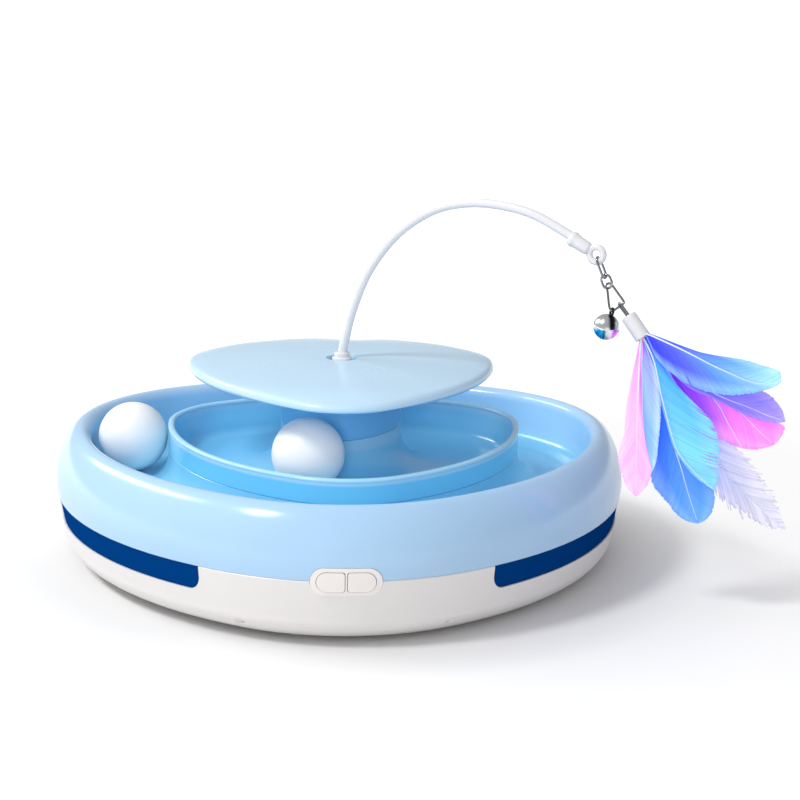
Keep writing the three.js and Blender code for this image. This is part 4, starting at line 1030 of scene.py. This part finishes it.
# Where each feather sits in the mouth and how far behind the plane it hangs; colours go from root to tip
plumes = {
    "pink": {"seat": -1.4, "behind": -7, "barbs": 80, "split": 0.05, "open": 0.5, "cup": 1.5, "slant": 0.5,
             "run": [(0, (244, 170, 240)), (0.5, (252, 196, 247)), (1, (250, 192, 246))],
             "pale": (253, 214, 250)},
    "pale": {"seat": -0.4, "behind": -4, "barbs": 80, "split": 0.06, "open": 0.5, "cup": 1.2, "slant": 0.45,
             "run": [(0, (150, 150, 240)), (0.2, (176, 196, 247)), (0.6, (146, 198, 246)),
             (1, (172, 216, 250))], "pale": (214, 232, 250)},
    "cyan": {"seat": -0.4, "behind": -1.5, "barbs": 120, "split": 0.4, "open": 1.6, "cup": 1, "slant": 0.42,
             "run": [(0, (50, 90, 225)), (0.2, (96, 188, 246)), (0.6, (136, 214, 248)),
             (1, (146, 210, 249))], "pale": (164, 222, 250)},
    "blue": {"seat": 0.6, "behind": 1.5, "barbs": 110, "split": 0.04, "open": 0.6, "cup": 1.4,
             "slant": 0.48, "run": [(0, (50, 80, 220)), (0.35, (60, 120, 236)), (0.7, (92, 156, 244)),
             (1, (120, 178, 248))], "pale": (150, 196, 250)},
    "sky": {"seat": -1.4, "behind": -3, "barbs": 120, "split": 0.05, "open": 0.6, "cup": 1.6, "slant": 0.42,
            "run": [(0, (70, 75, 232)), (0.2, (104, 120, 240)), (0.45, (110, 170, 248)),
            (1, (186, 228, 254))], "pale": (176, 224, 254)},
    "violet": {"seat": 0.6, "behind": 4.5, "barbs": 90, "split": 0.04, "open": 0.6, "cup": 1.2,
               "slant": 0.48, "run": [(0, (84, 64, 220)), (0.5, (146, 130, 240)), (1, (176, 160, 246))],
               "pale": (190, 176, 248)},
    "magenta": {"seat": 1.6, "behind": 8, "barbs": 110, "split": 0.04, "open": 0.6, "cup": 1.4,
                "slant": 0.45, "run": [(0, (120, 70, 224)), (0.4, (180, 96, 230)), (0.55, (232, 136, 244)),
                (1, (252, 158, 249))], "pale": (252, 186, 250), "second": [(171.3, 93.2), (175.7, 88.5),
                (180.2, 81.4), (186.4, 72.1)]},
    "lilac": {"seat": 1.6, "behind": 12, "barbs": 96, "split": 1, "open": 0, "cup": 1, "slant": 0.55,
              "thin": 0.05, "run": [(0, (212, 212, 230)), (1, (220, 218, 232))], "pale": (226, 224, 236)},
}


# Vane colour by place along the quill and across the barbs, streaked barb by barb; light comes through, and
# a faint glow of the vane's own colour is painted light
def plumeMaterial(name, plume):
    material, tree, shader = newMaterial(name)
    lay = addNode(tree, "UVMap", {}, uv_map="vane").outputs["UV"]
    apart = addNode(tree, "SeparateXYZ", {"Vector": lay})
    run = colourRun(tree, apart.outputs["X"], [(place, screen(*colour)) for place, colour in plume["run"]])
    edge = spread(tree, apart.outputs["Y"], {"From Min": 0.55, "To Max": 0.8})
    fade = mixColours(tree, edge, run, screen(*plume["pale"]))
    lines = addNode(tree, "Mapping", {"Vector": lay, "Scale": (plume["barbs"] * 1.7, 2.2, 1)})
    streak = noise(tree, lines.outputs["Vector"], 1, 3)
    shade = addNode(tree, "Attribute", {}, attribute_name="barbShade").outputs["Fac"]
    limits = {"From Min": 0.2, "From Max": 1.3, "To Min": 0.94, "To Max": 1.22}
    strength = spread(tree, combine(tree, "ADD", streak, shade), limits)
    tone = mixColours(tree, 1, fade, strength, "MULTIPLY")
    # The emission is painted light: the vane glows faintly in its own colour
    feed(tree, shader, {"Base Color": tone, "Roughness": 0.6, "Specular IOR Level": 0.25,
                        "Emission Color": tone, "Emission Strength": 0.22})
    through = addNode(tree, "BsdfTranslucent", {"Color": tone}).outputs[0]
    mix = addNode(tree, "MixShader", {0: 0.35, 1: shader.outputs[0], 2: through}).outputs[0]
    feed(tree, tree.nodes["Material Output"], {"Surface": mix})
    return material


# One side of a vane: a grid from the quill out to an edge, slit between some barbs, ragged at the end
def addVane(bm, plume, place, flip, chance):
    uv = bm.loops.layers.uv["vane"]
    shade = bm.verts.layers.float["barbShade"]
    barbs, thin = plume["barbs"], plume.get("thin")
    before = set(bm.verts)
    bmesh.ops.create_grid(bm, x_segments=barbs, y_segments=6, size=0.5)
    sheet = [v for v in bm.verts if v not in before]
    slits = {i: (0 if thin else chance.uniform(0.25, 0.8), chance.random() ** 2)
             for i in range(1, barbs) if thin or chance.random() < plume["split"]}
    torn = []
    for e in {e for v in sheet for e in v.link_edges}:
        a, b = (v.co for v in e.verts)
        i = round((a.x + 0.5) * barbs)
        if abs(a.x - b.x) < 1e-5 and i in slits and min(a.y, b.y) + 0.5 >= slits[i][0] - 1e-4:
            torn.append(e)
    bmesh.ops.split_edges(bm, edges=torn)
    sheet = [v for v in bm.verts if v not in before]
    tones = [chance.random() for _ in range(barbs)]
    ends = [chance.gauss(0, 1) for _ in range(barbs)]
    faces = {f for v in sheet for f in v.link_faces}
    for face in faces:
        for loop in face.loops:
            loop[uv].uv = (loop.vert.co.x + 0.5, loop.vert.co.y + 0.5)
    fresh = {}
    for vert in sheet:
        s, t = vert.co.x + 0.5, vert.co.y + 0.5
        inner = sum(f.calc_center_median().x for f in vert.link_faces) / len(vert.link_faces) + 0.5
        strip, i = min(barbs - 1, int(inner * barbs)), round(s * barbs)
        lean = 0
        if abs(inner - s) > 0.2 / barbs and i in slits:
            wide = thin if thin else plume["open"] * slits[i][1] * ramp(t, slits[i][0], 1)
            lean = math.copysign(wide, inner - s) / barbs
        fresh[vert] = place(s + lean, t, 1 + ends[strip] * (0.09 if thin else 0.012))
        vert[shade] = tones[strip]
    for vert, spot in fresh.items():
        vert.co = spot
    if flip:
        bmesh.ops.reverse_faces(bm, faces=list(faces))


# Widths of the quills, how deep they sit in the ferrule and how thick a vane is
quills = {"deep": 8.3, "thick": 0.42, "taper": 0.3, "branchThick": 0.26, "branchTaper": 0.14, "vane": 0.1}


def makeFeather(name):
    plume, edges = plumes[name], vaneEdges[name]
    chance = random.Random(plume["barbs"] * 7 + len(name))
    seatedAt, behind, cup = plume["seat"], plume["behind"], plume["cup"]
    quill = flatPath(edges["quill"])

    def depthAt(s):
        return seatedAt + (behind - seatedAt) * ramp(s, 0, 0.4)

    def atDepth(point, depth):
        return onTeaser(point.x - 0.518 * depth, point.z - 0.257 * depth, depth)

    bm = bmesh.new()
    bm.loops.layers.uv.new("vane")
    bm.verts.layers.float.new("barbShade")
    for flip, side in enumerate(("left", "right")):
        edge = flatPath(edges[side])

        def place(s, t, reach):
            s = min(1, max(0, s))
            a, b = quill(s), edge(s ** plume["slant"])
            back = (quill(s - 0.03) - quill(s + 0.03)).normalized() * (b - a).length * 0.1
            near = t * reach
            middle = a.lerp(b, 0.5) - back
            point = a * (1 - near) ** 2 + middle * 2 * near * (1 - near) + b * near ** 2
            ripple = 0.2 * math.sin(s * 21 + plume["barbs"]) * t
            return atDepth(point, depthAt(s) + cup * t * t * math.sin(math.pi * min(1, s * 1.1)) + ripple)

        addVane(bm, plume, place, flip, chance)
    piece = objectFrom(f"feather_{name}_vane", bm, plumeMaterial(f"{name}Barbs", plume), 75)
    thick = piece.modifiers.new("thickness", "SOLIDIFY")
    thick.thickness = quills["vane"] * mm
    thick.offset = 0
    seat(piece, "feather_bunch", [f"feather_{name}"])

    root = inPlane(*chain["ferruleTop"]) + level(*chain["ferruleAxis"]) * quills["deep"]
    first = quill(0.02)
    line = [(root.lerp(first, i / 5), seatedAt) for i in range(5)]
    line += [(quill(0.02 + 0.96 * i / 60), depthAt(0.02 + 0.96 * i / 60)) for i in range(61)]
    radii = [(quills["thick"] - quills["taper"] * i / (len(line) - 1)) * mm for i in range(len(line))]
    shaft = bmesh.new()
    tubeAlong(shaft, [atDepth(p, d) for p, d in line], radii, 8)
    if "second" in plume:
        branch = flatPath(plume["second"])
        radii = [(quills["branchThick"] - quills["branchTaper"] * i / 20) * mm for i in range(21)]
        tubeAlong(shaft, [atDepth(branch(i / 20), behind - 0.6) for i in range(21)], radii, 8)
    piece = objectFrom(f"feather_{name}_quill", shaft, finishes["quill"], 60)
    seat(piece, "feather_bunch", [])


makeLowerShell()
makeSlotLiners()
makeTrackShell()
makeTray()
makeTopPlate()
makeButtons()
makeBalls()
makeWire()
makeChain()
for name in plumes:
    makeFeather(name)
print("all pieces made")


# The solid model's own pieces that stay get their finish here
carried = {
    "footRubber": ("foot_front", "foot_right", "foot_left"),
    "darkPlastic": ("battery", "battery_cradle", "gearbox", "switch_left", "switch_right"),
    "boardGreen": ("circuit_board", "charge_board"),
    "brass": ("shaft_bush",),
}


def dressCarried():
    plain = {node: finish for finish, nodes in carried.items() for node in nodes}
    for node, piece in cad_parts.items():
        finish = finishes[plain.get(node, "steel")]
        piece.data.materials.clear()
        piece.data.materials.append(finish)


dressCarried()


# Studio: a pale floor that keeps the shadow, its glow held back near the base as painted shade, a white
# surround and soft lamps
studio = {
    "floorShade": 0.74, "floorHeight": -1.5, "glowNearBaseShaded": 0.25, "glowStepsShadedNearBase": (0.118, 0.165, 0.3),
    "glowReach": 1.2, "surround": 0.45,
    "lamps": [
        {"name": "key", "from": (-1.05, -0.62, 1.55), "size": 0.42, "power": 16},
        {"name": "back", "from": (-1.29, 0.63, 1), "size": 1.3, "tall": 0.2, "roll": 31, "power": 13},
        {"name": "fill", "from": (-0.2, -1.8, 0.85), "size": 1.3, "power": 5, "unseen": True},
        {"name": "front", "from": (-0.35, -1.9, 0.42), "size": 0.7, "power": 6, "unseen": True},
    ],
}


# 1 for a ray straight from the camera or of the other kind named, otherwise 0
def seenBy(tree, other):
    path = addNode(tree, "LightPath", {})
    return combine(tree, "MAXIMUM", path.outputs["Is Camera Ray"], path.outputs[other])


def makeFloor():
    bm = bmesh.new()
    bmesh.ops.create_grid(bm, x_segments=1, y_segments=1, size=6)
    moveBy(bm, (0, 0, studio["floorHeight"]))
    material, tree, shader = newMaterial("floorPale")
    shade, near, wide = studio["floorShade"], studio["glowNearBaseShaded"], studio["glowReach"]
    feed(tree, shader, {"Base Color": (shade, shade, shade, 1), "Roughness": 0.9, "Specular IOR Level": 0})
    far = addNode(tree, "VectorMath", {0: objectPlace(tree)}, operation="LENGTH").outputs["Value"]
    # The floor's glow is nil under the base and rises outwards: painted shade near the base
    first, second, third = studio["glowStepsShadedNearBase"]
    rows = ((first, 0), (second, near), (third, near * 1.15), (wide, 1))
    rise = colourRun(tree, combine(tree, "DIVIDE", far, wide),
                     [(at / wide, (value, value, value, 1)) for at, value in rows])
    strength = combine(tree, "MULTIPLY", seenBy(tree, "Is Glossy Ray"), rise)
    glow = addNode(tree, "Emission", {"Strength": strength})
    both = addNode(tree, "AddShader", {0: shader.outputs[0], 1: glow.outputs[0]})
    feed(tree, tree.nodes["Material Output"], {"Surface": both.outputs[0]})
    floor = objectFrom("floor", bm, material)


def makeSurround():
    world = bpy.data.worlds.new("surround")
    scene.world = world
    world.use_nodes = True
    tree = world.node_tree
    limits = {"To Min": studio["surround"], "To Max": 1}
    white = spread(tree, seenBy(tree, "Is Transmission Ray"), limits)
    feed(tree, tree.nodes["Background"], {"Strength": white, "Color": (1, 1, 1, 1)})


def makeLamps():
    for lamp in studio["lamps"]:
        data = bpy.data.lights.new(lamp["name"], "AREA")
        data.shape = "RECTANGLE" if "tall" in lamp else "DISK"
        data.size = lamp["size"]
        data.size_y = lamp.get("tall", lamp["size"])
        data.energy = lamp["power"]
        light = bpy.data.objects.new(lamp["name"], data)
        scene.collection.objects.link(light)
        place = Vector(lamp["from"])
        light.location = place
        light.visible_glossy = "unseen" not in lamp
        light.rotation_mode = "QUATERNION"
        roll = Quaternion((0, 0, 1), math.radians(lamp.get("roll", 0)))
        light.rotation_quaternion = (Vector((0, 0, 0.04)) - place).to_track_quat("-Z", "Y") @ roll


makeFloor()
makeSurround()
makeLamps()
print("studio made")
